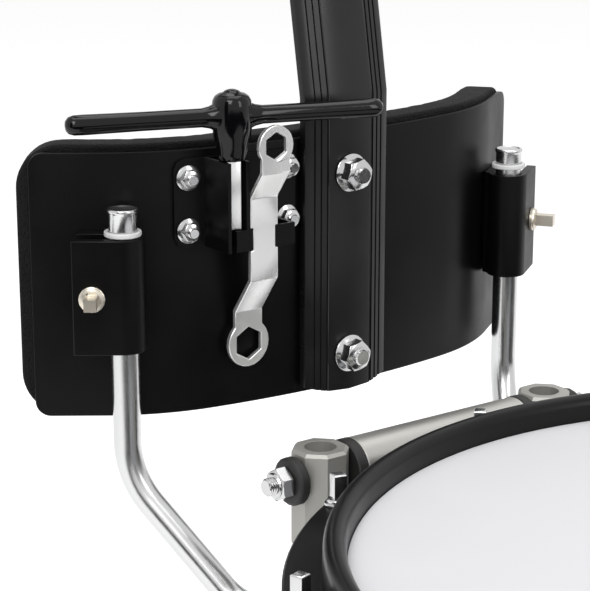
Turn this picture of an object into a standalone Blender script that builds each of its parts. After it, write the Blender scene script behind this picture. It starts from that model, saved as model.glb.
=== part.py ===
"""Marching snare drum hooked on its player's carrier, as separate closed solids.

Frame: +Z up, the drum stands on its bottom hoop at z = 0, X runs from the player's right
to the left as seen from the drum's far side, and +Y points from the drum to the player.
Every length below is in millimetres and is turned into metres where a mesh is made.
Places are measured from the drum's own axis, which sits DRUM_Y from the frame's origin.
"""

import math

import bmesh
import bpy
from mathutils import Matrix, Vector

MM = 0.001
GAP = 0.3

# Drum
RIM_Z = 329.0
ROUND_STEPS = 48
SHELL_RADIUS = 177.8
SHELL_WALL = 7.0
FILM_DEPTH = 10.9
FILM_THICKNESS = 1.0
FLESH_HOOP_HEIGHT = 9.7
HOOP_INNER = 180.6
HOOP_SKIRT_INNER = 187.8
HOOP_OUTER = 189.5
FLANGE_RADIUS = 204.5
FLANGE_DEPTH = 17.0
FLANGE_THICKNESS = 4.5
LUG_COUNT = 12
LUG_CIRCLE = 198.7
LUG_RADIUS = 7.0
LUG_TOP_DEPTH = 75.0
LUG_BORE_DEPTH = 45.0
TENSION_ROD_RADIUS = 2.9
TENSION_HEAD_DEPTH = 3.6
SQUARE_HEAD = 5.5

# Snare strainer side and butt side
STRAINER_ANGLE = 195.0
BUTT_ANGLE = 15.0
SNARE_REACH = 165.0
SNARE_WIDTH = 46.0
STRAP_WIDTH = 18.0
STRAP_REACH = 205.2
SNARE_THICKNESS = 1.6

# Stabiliser: the cross tube with its two receiver posts
TUBE_Y = 228.3
TUBE_DEPTH = 28.0
TUBE_RADIUS = 12.7
TUBE_WALL = 2.0
TUBE_HALF = 48.3
END_CAP_RADIUS = 12.9
BOLT_RADIUS = 4.0
POST_X = 66.0
POST_FLATS = 24.0
POST_TOP_DEPTH = 15.3
POST_BOTTOM_DEPTH = 60.0
POST_BORE = 7.15

# Carrier plate: a wide middle arc, two tighter arcs, then straight ends
PLATE_Y = 301.0
MIDDLE_RADIUS = 420.0
MIDDLE_HALF = 70.0
END_BEND_LENGTH = 50.0
END_BEND_ANGLE = math.radians(26.0)
PLATE_HALF = 152.0
PLATE_THICKNESS = 3.0
PLATE_LOW = -18.1
PLATE_HIGH = 104.6
PLATE_CORNER = 7.0
PAD_THICKNESS = 19.0
PAD_OVERHANG = 6.0
PAD_HIGH = 107.7
PAD_CORNER = 20.0

# Rods that hook into the receiver posts
ROD_RADIUS = 6.35
ROD_X = 114.0
ROD_Y = 309.8
ROD_TOP = 82.5
ROD_BEND_START = -26.0
FIRST_BEND_RADIUS = 40.0
FIRST_BEND_ANGLE = math.radians(45.0)
SECOND_BEND_RADIUS = 28.0
CLAMP_LOW = 17.4
CLAMP_HIGH = 69.6
CLAMP_RADIUS = 9.6
FLAP_REACH = 22.2
CLAMP_SCREW_REACH = 13.5

# Spine bar and harness
SPINE_HALF = 24.0
SPINE_FLAT_HALF = 12.5
SPINE_THICKNESS = 7.5
SPINE_SLOPE_DEPTH = 3.2
SPINE_LOW = -18.5
SPINE_KINK = 123.0
SPINE_HIGH = 334.0
SPINE_LEAN = math.radians(10.0)
SPINE_BOLTS = (87.0, -0.5)
SHOULDER_X = 88.0
SHOULDER_BAR_WIDTH = 34.0
SHOULDER_BAR_THICKNESS = 5.0
SHOULDER_RADIUS = 98.0
YOKE_LOW = 290.0
YOKE_HIGH = 326.0
YOKE_THICKNESS = 4.6
SHOULDER_RISE = 80.0
SHOULDER_END_ANGLE = math.radians(185.0)
BACK_LEG = 60.0
BACK_BAR_THICKNESS = 5.0

# Key holder, tuning key and wrench on the plate
HOLDER_SHEET = 1.8
HOLDER_LOW = 60.0
HOLDER_HIGH = 101.0
HOLDER_FRONT_Y = 287.4
KEY_X = -67.65
KEY_Y = 291.5
KEY_TURN = math.radians(-17.9)
KEY_BAR_LEFT = 75.1
KEY_BAR_RIGHT = 71.1
KEY_SHANK_SIDE = 6.2
TAB_HEIGHT = 9.8
WRENCH_X = -54.0
TAB_HALF_GAP = 6.3


def rim(depth):
    """Height above the floor of a place this far below the top rim."""
    return RIM_Z - depth


# Materials

MATERIALS = {}


def material(name, colour, roughness, metallic):
    if name not in MATERIALS:
        made = bpy.data.materials.new(name)
        made.use_nodes = True
        shader = made.node_tree.nodes["Principled BSDF"]
        shader.inputs["Base Color"].default_value = (*colour, 1.0)
        shader.inputs["Roughness"].default_value = roughness
        shader.inputs["Metallic"].default_value = metallic
        MATERIALS[name] = made
    return MATERIALS[name]


def black_metal():
    return material("black_coated_metal", (0.012, 0.012, 0.012), 0.35, 0.0)


def satin_aluminium():
    return material("satin_aluminium", (0.34, 0.34, 0.32), 0.38, 1.0)


def chrome():
    return material("chrome", (0.75, 0.75, 0.76), 0.08, 1.0)


def nickel():
    return material("nickel", (0.55, 0.52, 0.46), 0.25, 1.0)


def black_rubber():
    return material("black_rubber", (0.015, 0.015, 0.014), 0.6, 0.0)


def black_vinyl():
    return material("black_vinyl", (0.008, 0.008, 0.010), 0.12, 0.0)


def black_foam():
    return material("black_foam", (0.010, 0.010, 0.009), 0.95, 0.0)


def white_film():
    return material("white_film", (0.78, 0.79, 0.80), 0.5, 0.0)


def white_nylon():
    return material("white_nylon", (0.80, 0.80, 0.78), 0.4, 0.0)


def shell_lacquer():
    return material("shell_lacquer", (0.62, 0.63, 0.65), 0.25, 0.0)


# Making objects

def clear_scene():
    for old in list(bpy.data.objects):
        bpy.data.objects.remove(old, do_unlink=True)


def place_axis():
    back = shoulder_points()[-1][0] + SHOULDER_BAR_THICKNESS / 2 + BACK_BAR_THICKNESS
    axis = bpy.data.objects.new("drum_axis", None)
    front = LUG_CIRCLE + LUG_RADIUS
    axis.location = (0.0, -(back - front) / 2 * MM, 0.0)
    bpy.context.scene.collection.objects.link(axis)
    return axis


def finish_mesh(bm, name):
    bmesh.ops.recalc_face_normals(bm, faces=bm.faces)
    bmesh.ops.scale(bm, vec=(MM, MM, MM), verts=bm.verts)
    mesh = bpy.data.meshes.new(name)
    bm.to_mesh(mesh)
    bm.free()
    return mesh


def smooth(mesh):
    mesh.shade_smooth()
    mesh.set_sharp_from_angle(angle=math.radians(35.0))


def add_object(name, mesh, look, place=(0, 0, 0), turn=0.0):
    """Link a finished mesh as a node; place is in millimetres, turn in degrees about Z."""
    node = bpy.data.objects.new(name, mesh)
    node.location = Vector(place) * MM
    node.rotation_euler = (0.0, 0.0, math.radians(turn))
    node.parent = bpy.data.objects["drum_axis"]
    bpy.context.scene.collection.objects.link(node)
    if not mesh.materials:
        mesh.materials.append(look)
    return node


def combined(first, joined=(), removed=()):
    """One mesh from a bmesh, with others united to it and others cut from it."""
    helpers = []
    for number, bm in enumerate([first, *joined, *removed]):
        mesh = finish_mesh(bm, f"helper_{number}")
        helper = bpy.data.objects.new(f"helper_{number}", mesh)
        bpy.context.scene.collection.objects.link(helper)
        helpers.append(helper)
    base = helpers[0]
    for number, helper in enumerate(helpers[1:]):
        step = base.modifiers.new(f"step_{number}", "BOOLEAN")
        step.operation = "UNION" if number < len(joined) else "DIFFERENCE"
        step.solver = "EXACT"
        step.object = helper
    graph = bpy.context.evaluated_depsgraph_get()
    graph.update()
    result = bpy.data.meshes.new_from_object(base.evaluated_get(graph))
    result.materials.clear()
    for helper in helpers:
        bpy.data.objects.remove(helper, do_unlink=True)
    return result


# Shapes, each as a bmesh in millimetres

def box(low, high):
    bm = bmesh.new()
    size = Vector(high) - Vector(low)
    middle = (Vector(high) + Vector(low)) / 2
    bmesh.ops.create_cube(bm, size=1.0)
    bmesh.ops.scale(bm, vec=size, verts=bm.verts)
    bmesh.ops.translate(bm, vec=middle, verts=bm.verts)
    return bm


def prism(outline, low, high, frame=None):
    """Extrude a flat outline of (x, y) from z = low to z = high, then place it."""
    bm = bmesh.new()
    lower = [bm.verts.new((x, y, low)) for x, y in outline]
    upper = [bm.verts.new((x, y, high)) for x, y in outline]
    bm.faces.new(lower[::-1])
    bm.faces.new(upper)
    count = len(outline)
    for i in range(count):
        j = (i + 1) % count
        bm.faces.new((lower[i], lower[j], upper[j], upper[i]))
    if frame is not None:
        bmesh.ops.transform(bm, matrix=frame, verts=bm.verts)
    return bm


def turned(profile, steps, frame=None, phase=0.0):
    """Turn a closed outline of (radius, z) about Z; a radius of zero is a pole."""
    bm = bmesh.new()
    rings = []
    for radius, z in profile:
        if radius == 0:
            rings.append([bm.verts.new((0, 0, z))])
            continue
        angles = [phase + math.tau * k / steps for k in range(steps)]
        rings.append([bm.verts.new((radius * math.cos(a), radius * math.sin(a), z)) for a in angles])
    poles = len(rings[0]) == 1
    pairs = list(zip(rings, rings[1:]))
    if not poles:
        pairs.append((rings[-1], rings[0]))
    for first, second in pairs:
        for k in range(steps):
            following = (k + 1) % steps
            corners = [first[k % len(first)], first[following % len(first)],
                       second[following % len(second)], second[k % len(second)]]
            distinct = list(dict.fromkeys(corners))
            bm.faces.new(distinct)
    if frame is not None:
        bmesh.ops.transform(bm, matrix=frame, verts=bm.verts)
    return bm


def cylinder(radius, low, high, steps, frame=None, phase=0.0):
    return turned([(0, low), (radius, low), (radius, high), (0, high)], steps, frame, phase)


def swept(stations, side):
    """Skin closed sections along stations of (centre, along, section of (u, v)).

    u runs along the fixed side vector and v along side x along."""
    bm = bmesh.new()
    rings = []
    for centre, along, section in stations:
        across = Vector(side).cross(Vector(along).normalized())
        ring = [bm.verts.new(Vector(centre) + Vector(side) * u + across * v) for u, v in section]
        rings.append(ring)
    for first, second in zip(rings, rings[1:]):
        count = len(first)
        for k in range(count):
            j = (k + 1) % count
            bm.faces.new((first[k], first[j], second[j], second[k]))
    bm.faces.new(rings[0][::-1])
    bm.faces.new(rings[-1])
    return bm


def circle(radius, steps):
    return [(radius * math.cos(math.tau * k / steps), radius * math.sin(math.tau * k / steps))
            for k in range(steps)]


def arc(centre, radius, start, end, steps):
    """Points on an arc, angles in degrees, both ends included."""
    points = []
    for k in range(steps + 1):
        angle = math.radians(start + (end - start) * k / steps)
        points.append((centre[0] + radius * math.cos(angle), centre[1] + radius * math.sin(angle)))
    return points


ALONG_X = Matrix.Rotation(math.radians(90.0), 4, "Y")
ALONG_Y = Matrix.Rotation(math.radians(90.0), 4, "X")


def moved(x, y, z):
    return Matrix.Translation((x, y, z))


# Drum body

def lug_angles():
    return [360.0 * k / LUG_COUNT for k in range(LUG_COUNT)]


def lug_holes(radius, low, high):
    """Upright cutters on the lug circle, all in one bmesh."""
    cutters = bmesh.new()
    for angle in lug_angles():
        centre = Matrix.Rotation(math.radians(angle), 4, "Z") @ moved(LUG_CIRCLE, 0, 0)
        hole = cylinder(radius, low, high, 8, centre, math.radians(22.5))
        scratch = bpy.data.meshes.new("scratch")
        hole.to_mesh(scratch)
        hole.free()
        cutters.from_mesh(scratch)
        bpy.data.meshes.remove(scratch)
    return cutters


def add_shell():
    ends = FILM_DEPTH + FILM_THICKNESS + GAP
    inner = SHELL_RADIUS - SHELL_WALL
    profile = [(inner, ends), (SHELL_RADIUS, ends), (SHELL_RADIUS, rim(ends)), (inner, rim(ends))]
    mesh = finish_mesh(turned(profile, ROUND_STEPS), "drum_shell")
    smooth(mesh)
    add_object("drum_shell", mesh, shell_lacquer())


def hoop_profile():
    """Outline of the top hoop as (radius, depth below the rim)."""
    skirt_outer = HOOP_SKIRT_INNER + 4.7
    flange_low = FLANGE_DEPTH + FLANGE_THICKNESS
    ledge = FILM_DEPTH + FILM_THICKNESS + 0.1
    return [
        (HOOP_INNER, ledge),
        (HOOP_INNER, 3.6),
        (182.4, 0.8),
        (184.8, 0.0),
        (187.6, 0.8),
        (HOOP_OUTER, 3.4),
        (HOOP_OUTER + 0.4, FLANGE_DEPTH),
        (FLANGE_RADIUS, FLANGE_DEPTH),
        (FLANGE_RADIUS, flange_low),
        (skirt_outer, flange_low),
        (skirt_outer, 27.0),
        (HOOP_SKIRT_INNER, 27.0),
        (HOOP_SKIRT_INNER, ledge),
    ]


def add_hoops():
    top = [(radius, rim(depth)) for radius, depth in hoop_profile()]
    holes = lug_holes(TENSION_ROD_RADIUS + 0.5, rim(40.0), rim(5.0))
    mesh = combined(turned(top, ROUND_STEPS), removed=[holes])
    smooth(mesh)
    add_object("top_hoop", mesh, black_metal())

    bottom = hoop_profile()
    holes = lug_holes(TENSION_ROD_RADIUS + 0.5, 5.0, 40.0)
    gates = []
    for angle in (STRAINER_ANGLE, BUTT_ANGLE):
        gate = box((170.0, -STRAP_WIDTH / 2 - 2.0, -1.0), (215.0, STRAP_WIDTH / 2 + 2.0, 13.4))
        bmesh.ops.rotate(gate, matrix=Matrix.Rotation(math.radians(angle), 3, "Z"), verts=gate.verts)
        gates.append(gate)
    mesh = combined(turned(bottom, ROUND_STEPS), removed=[holes, *gates])
    smooth(mesh)
    add_object("bottom_hoop", mesh, black_metal())


def add_heads():
    film_inner_face = FILM_DEPTH + FILM_THICKNESS
    flesh_top = film_inner_face + 0.1 + GAP
    flesh_low = flesh_top + FLESH_HOOP_HEIGHT
    profile = [
        (0, FILM_DEPTH),
        (HOOP_INNER - GAP, FILM_DEPTH),
        (HOOP_INNER - GAP, flesh_top),
        (HOOP_SKIRT_INNER - 0.5, flesh_top),
        (HOOP_SKIRT_INNER - 0.5, flesh_low),
        (SHELL_RADIUS + 0.5, flesh_low),
        (SHELL_RADIUS + 0.5, film_inner_face),
        (0, film_inner_face),
    ]
    for name, side in (("batter_head", True), ("snare_head", False)):
        points = [(r, rim(depth) if side else depth) for r, depth in profile]
        mesh = finish_mesh(turned(points, ROUND_STEPS), name)
        smooth(mesh)
        add_object(name, mesh, white_film())


def add_lugs():
    low = LUG_TOP_DEPTH
    high = rim(LUG_TOP_DEPTH)
    bore = TENSION_ROD_RADIUS + 0.4
    chamfer = 1.5
    profile = [
        (0, low + LUG_BORE_DEPTH),
        (bore, low + LUG_BORE_DEPTH),
        (bore, low),
        (LUG_RADIUS - chamfer, low),
        (LUG_RADIUS, low + chamfer),
        (LUG_RADIUS, high - chamfer),
        (LUG_RADIUS - chamfer, high),
        (bore, high),
        (bore, high - LUG_BORE_DEPTH),
        (0, high - LUG_BORE_DEPTH),
    ]
    feet = []
    foot_inner = SHELL_RADIUS + GAP + 0.1 - LUG_CIRCLE
    for height in (low + 60.0, high - 60.0):
        feet.append(box((foot_inner, -5.0, height - 9.0), (-LUG_RADIUS + 2.0, 5.0, height + 9.0)))
    mesh = combined(turned(profile, 10), joined=feet)
    smooth(mesh)
    for number, angle in enumerate(lug_angles(), 1):
        turn = math.radians(angle)
        place = (LUG_CIRCLE * math.cos(turn), LUG_CIRCLE * math.sin(turn), 0)
        add_object(f"lug_{number:02d}", mesh, black_metal(), place, angle)


def add_tension_rods():
    seat = rim(FLANGE_DEPTH) + GAP
    washer_top = seat + 2.7
    tip = rim(LUG_TOP_DEPTH) - 25.0
    profile = [
        (0, tip),
        (TENSION_ROD_RADIUS, tip),
        (TENSION_ROD_RADIUS, seat),
        (5.6, seat),
        (5.6, seat + 1.1),
        (4.6, seat + 1.3),
        (4.6, washer_top),
        (0, washer_top),
    ]
    half = SQUARE_HEAD / 2
    head = box((-half, -half, washer_top - 0.5), (half, half, rim(TENSION_HEAD_DEPTH)))
    bmesh.ops.bevel(head, geom=[e for e in head.edges if all(v.co.z > washer_top for v in e.verts)],
                    offset=0.6, segments=1, affect="EDGES")
    mesh = combined(turned(profile, 10), joined=[head])
    smooth(mesh)
    for number, angle in enumerate(lug_angles(), 1):
        turn = math.radians(angle)
        place = (LUG_CIRCLE * math.cos(turn), LUG_CIRCLE * math.sin(turn), 0)
        add_object(f"tension_rod_{number:02d}", mesh, chrome(), place, angle + 45.0)


# Snares, strainer and butt plate, each drawn on a radius and turned to its side

UPRIGHT = Matrix(((1, 0, 0, 0), (0, 0, -1, 0), (0, 1, 0, 0), (0, 0, 0, 1)))


def side_prism(outline, half_width):
    """Extrude an outline of (radius, height) sideways, half each way."""
    return prism(outline, -half_width, half_width, UPRIGHT)


def add_snares():
    half = SNARE_WIDTH / 2
    strap = STRAP_WIDTH / 2
    outline = [
        (STRAP_REACH, strap), (SNARE_REACH, strap), (SNARE_REACH, half),
        (-SNARE_REACH, half), (-SNARE_REACH, strap), (-STRAP_REACH, strap),
        (-STRAP_REACH, -strap), (-SNARE_REACH, -strap), (-SNARE_REACH, -half),
        (SNARE_REACH, -half), (SNARE_REACH, -strap), (STRAP_REACH, -strap),
    ]
    top = FILM_DEPTH - GAP
    mesh = finish_mesh(prism(outline, top - SNARE_THICKNESS, top), "snare_wires")
    add_object("snare_wires", mesh, chrome(), turn=BUTT_ANGLE)


STRAINER_FOOT = SHELL_RADIUS + GAP + 0.2
LEG_INNER = 205.5
LEG_OUTER = 208.5
LEG_LOW = 6.0
STRAINER_LOW = 30.0
STRAINER_HIGH = 124.0
LEVER_AXIS = (199.0, 92.0)
LEVER_PIN = 2.0


def add_strainer():
    block = [
        (STRAINER_FOOT, STRAINER_LOW), (LEG_INNER, STRAINER_LOW), (LEG_INNER, LEG_LOW),
        (LEG_OUTER, LEG_LOW), (LEG_OUTER, STRAINER_LOW + 10.0), (193.0, STRAINER_LOW + 14.0),
        (193.0, STRAINER_HIGH), (STRAINER_FOOT, STRAINER_HIGH),
    ]
    cheek = [(190.0, 80.0), (200.0, 82.0), (204.0, 88.0), (204.0, 97.0), (200.0, 102.0), (190.0, 104.0)]
    cheeks = [prism(cheek, low, low + 4.0, UPRIGHT) for low in (-9.0, 5.0)]
    pin = cylinder(LEVER_PIN, -8.0, 8.0, 10, UPRIGHT)
    bmesh.ops.translate(pin, vec=(LEVER_AXIS[0], 0, LEVER_AXIS[1]), verts=pin.verts)
    stem_hole = cylinder(2.8, STRAINER_HIGH - 14.0, STRAINER_HIGH + 1.0, 10, moved(186.0, 0, 0))
    mesh = combined(side_prism(block, 11.0), joined=[*cheeks, pin], removed=[stem_hole])
    smooth(mesh)
    add_object("strainer_body", mesh, black_metal(), turn=STRAINER_ANGLE)

    hub = circle(5.4, 12)
    arm = [(-0.8, -1.0), (2.0, 62.0), (4.6, 64.0), (6.2, 60.0), (5.0, -1.0)]
    hole = cylinder(LEVER_PIN + GAP, -10.0, 10.0, 10, UPRIGHT)
    mesh = combined(side_prism(hub, 4.0), joined=[side_prism(arm, 3.8)], removed=[hole])
    smooth(mesh)
    turn = math.radians(STRAINER_ANGLE)
    place = (LEVER_AXIS[0] * math.cos(turn), LEVER_AXIS[0] * math.sin(turn), LEVER_AXIS[1])
    add_object("strainer_lever", mesh, chrome(), place, STRAINER_ANGLE)

    profile = [(0, -12.0), (2.4, -12.0), (2.4, GAP), (6.4, GAP), (6.8, 1.2), (6.8, 9.0), (5.6, 10.5), (0, 10.5)]
    mesh = finish_mesh(turned(profile, 12), "strainer_knob")
    smooth(mesh)
    place = (186.0 * math.cos(turn), 186.0 * math.sin(turn), STRAINER_HIGH)
    add_object("strainer_knob", mesh, chrome(), place, STRAINER_ANGLE)


def add_butt_plate():
    block = [
        (STRAINER_FOOT, STRAINER_LOW), (LEG_INNER, STRAINER_LOW), (LEG_INNER, LEG_LOW),
        (LEG_OUTER, LEG_LOW), (LEG_OUTER, STRAINER_LOW + 6.0), (190.0, STRAINER_LOW + 12.0),
        (186.0, 74.0), (STRAINER_FOOT, 74.0),
    ]
    mesh = finish_mesh(side_prism(block, 13.0), "butt_plate")
    add_object("butt_plate", mesh, black_metal(), turn=BUTT_ANGLE)


# Stabiliser

def add_stabiliser():
    inner = TUBE_RADIUS - TUBE_WALL
    cap_outer = POST_X - POST_FLATS / 2 - GAP
    bolt_hole = BOLT_RADIUS + GAP
    half = [(TUBE_RADIUS, TUBE_HALF), (END_CAP_RADIUS, TUBE_HALF + 0.2), (END_CAP_RADIUS, cap_outer),
            (bolt_hole, cap_outer), (bolt_hole, TUBE_HALF), (inner, TUBE_HALF)]
    profile = half + [(r, -x) for r, x in half[::-1]]
    mesh = finish_mesh(turned(profile, 24, ALONG_X), "stabiliser_tube")
    smooth(mesh)
    place = (0, TUBE_Y, rim(TUBE_DEPTH))
    add_object("stabiliser_tube", mesh, satin_aluminium(), place)

    washer_inner = POST_X + POST_FLATS / 2 + GAP
    washer_outer = washer_inner + 5.8
    nut_inner = washer_outer + GAP
    nuts = []
    for side in (1, -1):
        flats = 13.0 / math.cos(math.radians(30.0)) / 2
        ends = sorted((side * nut_inner, side * (nut_inner + 6.6)))
        nuts.append(cylinder(flats, ends[0], ends[1], 6, ALONG_X))
    end = nut_inner + 11.0
    shank = turned([(0, -end), (BOLT_RADIUS - 0.8, -end), (BOLT_RADIUS, -end + 0.9),
                    (BOLT_RADIUS, end - 0.9), (BOLT_RADIUS - 0.8, end), (0, end)], 12, ALONG_X)
    mesh = combined(shank, joined=nuts)
    smooth(mesh)
    add_object("through_bolt", mesh, chrome(), place)

    washer = [(bolt_hole, washer_inner), (9.6, washer_inner), (10.7, washer_inner + 1.0),
              (10.7, washer_outer - 1.2), (9.4, washer_outer), (bolt_hole, washer_outer)]
    for name, side in (("rubber_washer_left", -1), ("rubber_washer_right", 1)):
        points = [(r, side * x) for r, x in washer]
        mesh = finish_mesh(turned(points, 20, ALONG_X), name)
        smooth(mesh)
        add_object(name, mesh, black_rubber(), place)


def add_receiver_posts():
    corner = POST_FLATS / 2 / math.cos(math.radians(22.5))
    chamfer = 1.4
    high = TUBE_DEPTH - POST_TOP_DEPTH
    low = TUBE_DEPTH - POST_BOTTOM_DEPTH
    profile = [(0, low), (corner - chamfer, low), (corner, low + chamfer), (corner, high - chamfer),
               (corner - chamfer, high), (0, high)]
    bore = cylinder(POST_BORE, low - 1.0, high + 1.0, 20)
    cross = cylinder(BOLT_RADIUS + GAP, -20.0, 20.0, 12, ALONG_X)
    post = turned(profile, 8, phase=math.radians(22.5))
    mesh = combined(post, removed=[bore, cross])
    smooth(mesh)
    for name, side in (("receiver_post_left", -1), ("receiver_post_right", 1)):
        add_object(name, mesh, satin_aluminium(), (side * POST_X, TUBE_Y, rim(TUBE_DEPTH)))


def add_mount_bracket():
    """A casting bolted to the shell, with two saddles under the cross tube."""
    web = box((-40.0, 206.5, rim(62.0)), (40.0, 215.0, rim(44.0)))
    parts = []
    for side in (1, -1):
        ends = sorted((side * 26.0, side * 42.0))
        parts.append(box((ends[0], 165.0, rim(66.0)), (ends[1], 242.0, rim(46.0))))
        parts.append(box((ends[0], 213.0, rim(50.0)), (ends[1], 243.0, rim(30.5))))
    shell = cylinder(SHELL_RADIUS + GAP + 0.1, rim(90.0), rim(20.0), ROUND_STEPS)
    tube = cylinder(TUBE_RADIUS + GAP, -60.0, 60.0, 24, moved(0, TUBE_Y, rim(TUBE_DEPTH)) @ ALONG_X)
    mesh = combined(web, joined=parts, removed=[shell, tube])
    smooth(mesh)
    add_object("mount_bracket", mesh, black_metal())


# Carrier plate, its pad and its spine

def plate_point(along, offset=0.0):
    """Place on the plate's front face at a signed length along it, offset behind it."""
    distance = abs(along)
    middle = min(distance, MIDDLE_HALF)
    angle = middle / MIDDLE_RADIUS
    x = MIDDLE_RADIUS * math.sin(angle)
    y = MIDDLE_RADIUS * (1 - math.cos(angle))
    bend_radius = END_BEND_LENGTH / END_BEND_ANGLE
    bent = min(max(distance - MIDDLE_HALF, 0.0), END_BEND_LENGTH)
    turned_angle = angle + bent / bend_radius
    x += bend_radius * (math.sin(turned_angle) - math.sin(angle))
    y += bend_radius * (math.cos(angle) - math.cos(turned_angle))
    straight = max(distance - MIDDLE_HALF - END_BEND_LENGTH, 0.0)
    x += straight * math.cos(turned_angle) - offset * math.sin(turned_angle)
    y += straight * math.sin(turned_angle) + offset * math.cos(turned_angle)
    return math.copysign(x, along), PLATE_Y + y, turned_angle


def slab_stations(half, corner, steps):
    """Signed lengths along the plate, closer together in the rounded corners."""
    inner = half - corner
    straight = [inner * k / steps for k in range(steps + 1)]
    rounded = [inner + corner * math.sin(math.radians(angle)) for angle in (20, 40, 60, 78, 90)]
    positive = straight + rounded
    return [-s for s in positive[:0:-1]] + positive


def corner_drop(along, half, corner):
    """How far the slab's edge draws in at a rounded corner."""
    into = max(abs(along) - (half - corner), 0.0)
    return corner - math.sqrt(max(corner * corner - into * into, 0.0))


def curved_slab(layers, half, low, high, corner, steps):
    """A slab along the plate; layers are (offset behind the face, inset of the edge)."""
    bm = bmesh.new()
    stations = slab_stations(half, corner, steps)
    grid = []
    for offset, inset in layers:
        rows = []
        for along in stations:
            reach = along * (half - inset) / half
            drop = corner_drop(along, half, corner)
            x, y, _ = plate_point(reach, offset)
            rows.append((bm.verts.new((x, y, low + inset + drop)), bm.verts.new((x, y, high - inset - drop))))
        grid.append(rows)
    last = len(stations) - 1
    for first, second in zip(grid, grid[1:]):
        for k in range(last):
            for end in (0, 1):
                bm.faces.new((first[k][end], first[k + 1][end], second[k + 1][end], second[k][end]))
        for k in (0, last):
            bm.faces.new((first[k][0], first[k][1], second[k][1], second[k][0]))
    for rows in (grid[0], grid[-1]):
        for k in range(last):
            bm.faces.new((rows[k][0], rows[k + 1][0], rows[k + 1][1], rows[k][1]))
    bmesh.ops.translate(bm, vec=(0, 0, RIM_Z), verts=bm.verts)
    return bm


def spine_holes(radius, low, high):
    return [cylinder(radius, -high, -low, 12, moved(0, 0, rim(-z)) @ ALONG_Y, math.radians(15.0))
            for z in SPINE_BOLTS]


def add_plate():
    slab = curved_slab([(0.0, 0.0), (PLATE_THICKNESS, 0.0)], PLATE_HALF, PLATE_LOW, PLATE_HIGH,
                       PLATE_CORNER, 12)
    holes = spine_holes(BOLT_RADIUS + GAP, PLATE_Y - 5.0, PLATE_Y + 10.0)
    mesh = combined(slab, removed=holes)
    smooth(mesh)
    add_object("belly_plate", mesh, black_metal())


def add_pad():
    start = PLATE_THICKNESS + GAP
    layers = [(start, 2.0), (start + 1.5, 0.6), (start + 6.0, 0.0), (start + 13.0, 0.4),
              (start + 17.0, 2.6), (start + PAD_THICKNESS, 7.0)]
    half = PLATE_HALF + PAD_OVERHANG
    slab = curved_slab(layers, half, PLATE_LOW - 0.4, PAD_HIGH, PAD_CORNER, 10)
    mesh = finish_mesh(slab, "belly_pad")
    smooth(mesh)
    add_object("belly_pad", mesh, black_foam())


def spine_front_y(z):
    """Where the spine's back face stands at a height above the rim."""
    return PLATE_Y - GAP + max(z - SPINE_KINK, 0.0) * math.tan(SPINE_LEAN)


def add_spine():
    bm = bmesh.new()
    section = [
        (-SPINE_HALF, 0.0), (-SPINE_HALF, -SPINE_THICKNESS + SPINE_SLOPE_DEPTH),
        (-SPINE_FLAT_HALF, -SPINE_THICKNESS), (0.0, -SPINE_THICKNESS),
        (SPINE_FLAT_HALF, -SPINE_THICKNESS), (SPINE_HALF, -SPINE_THICKNESS + SPINE_SLOPE_DEPTH),
        (SPINE_HALF, 0.0), (SPINE_FLAT_HALF, 0.0), (0.0, 0.0), (-SPINE_FLAT_HALF, 0.0),
    ]
    rings = []
    for height in (SPINE_LOW, SPINE_KINK, SPINE_HIGH):
        ring = []
        for x, depth in section:
            curve = 4.0 * (x / SPINE_HALF) ** 2
            end = curve if height == SPINE_LOW else 0.0
            end -= 8.0 * (x / SPINE_HALF) ** 2 if height == SPINE_HIGH else 0.0
            z = height + end
            ring.append(bm.verts.new((x, spine_front_y(z) + depth, rim(-z))))
        rings.append(ring)
    count = len(section)
    for first, second in zip(rings, rings[1:]):
        for k in range(count):
            j = (k + 1) % count
            bm.faces.new((first[k], first[j], second[j], second[k]))
    for ring in (rings[0], rings[-1]):
        bm.faces.new((ring[0], ring[1], ring[2], ring[9]))
        bm.faces.new((ring[9], ring[2], ring[3], ring[8]))
        bm.faces.new((ring[8], ring[3], ring[4], ring[7]))
        bm.faces.new((ring[7], ring[4], ring[5], ring[6]))
    holes = spine_holes(BOLT_RADIUS + GAP, PLATE_Y - 20.0, PLATE_Y + 5.0)
    mesh = combined(bm, removed=holes)
    smooth(mesh)
    add_object("spine_bar", mesh, black_metal())


def add_spine_bolts():
    face = PLATE_Y - GAP - SPINE_THICKNESS - GAP
    flats = 13.0 / math.cos(math.radians(30.0)) / 2
    for name, z in zip(("spine_bolt_upper", "spine_bolt_lower"), SPINE_BOLTS):
        place = moved(0, face, 0) @ ALONG_Y
        inner_end = face - PLATE_Y - PLATE_THICKNESS
        profile = [(0, inner_end), (BOLT_RADIUS, inner_end), (BOLT_RADIUS, 0.0), (8.9, 0.0), (8.9, 1.2),
                   (6.9, 2.2), (BOLT_RADIUS, 2.2), (BOLT_RADIUS, 10.0), (BOLT_RADIUS - 0.7, 10.7),
                   (0, 10.7)]
        nut = cylinder(flats, 1.6, 8.0, 6, place, math.radians(12.0))
        mesh = combined(turned(profile, 16, place), joined=[nut])
        smooth(mesh)
        add_object(name, mesh, chrome(), (0, 0, rim(-z)))


# Rod clamps, screws, collars and hooked rods

def end_angle():
    return plate_point(PLATE_HALF)[2]


def rod_to_plate():
    """Distance from a rod's axis to the flat end of the plate."""
    x, y, angle = plate_point(PLATE_HALF)
    return (ROD_X - x) * math.sin(angle) - (ROD_Y - y) * math.cos(angle)


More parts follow.
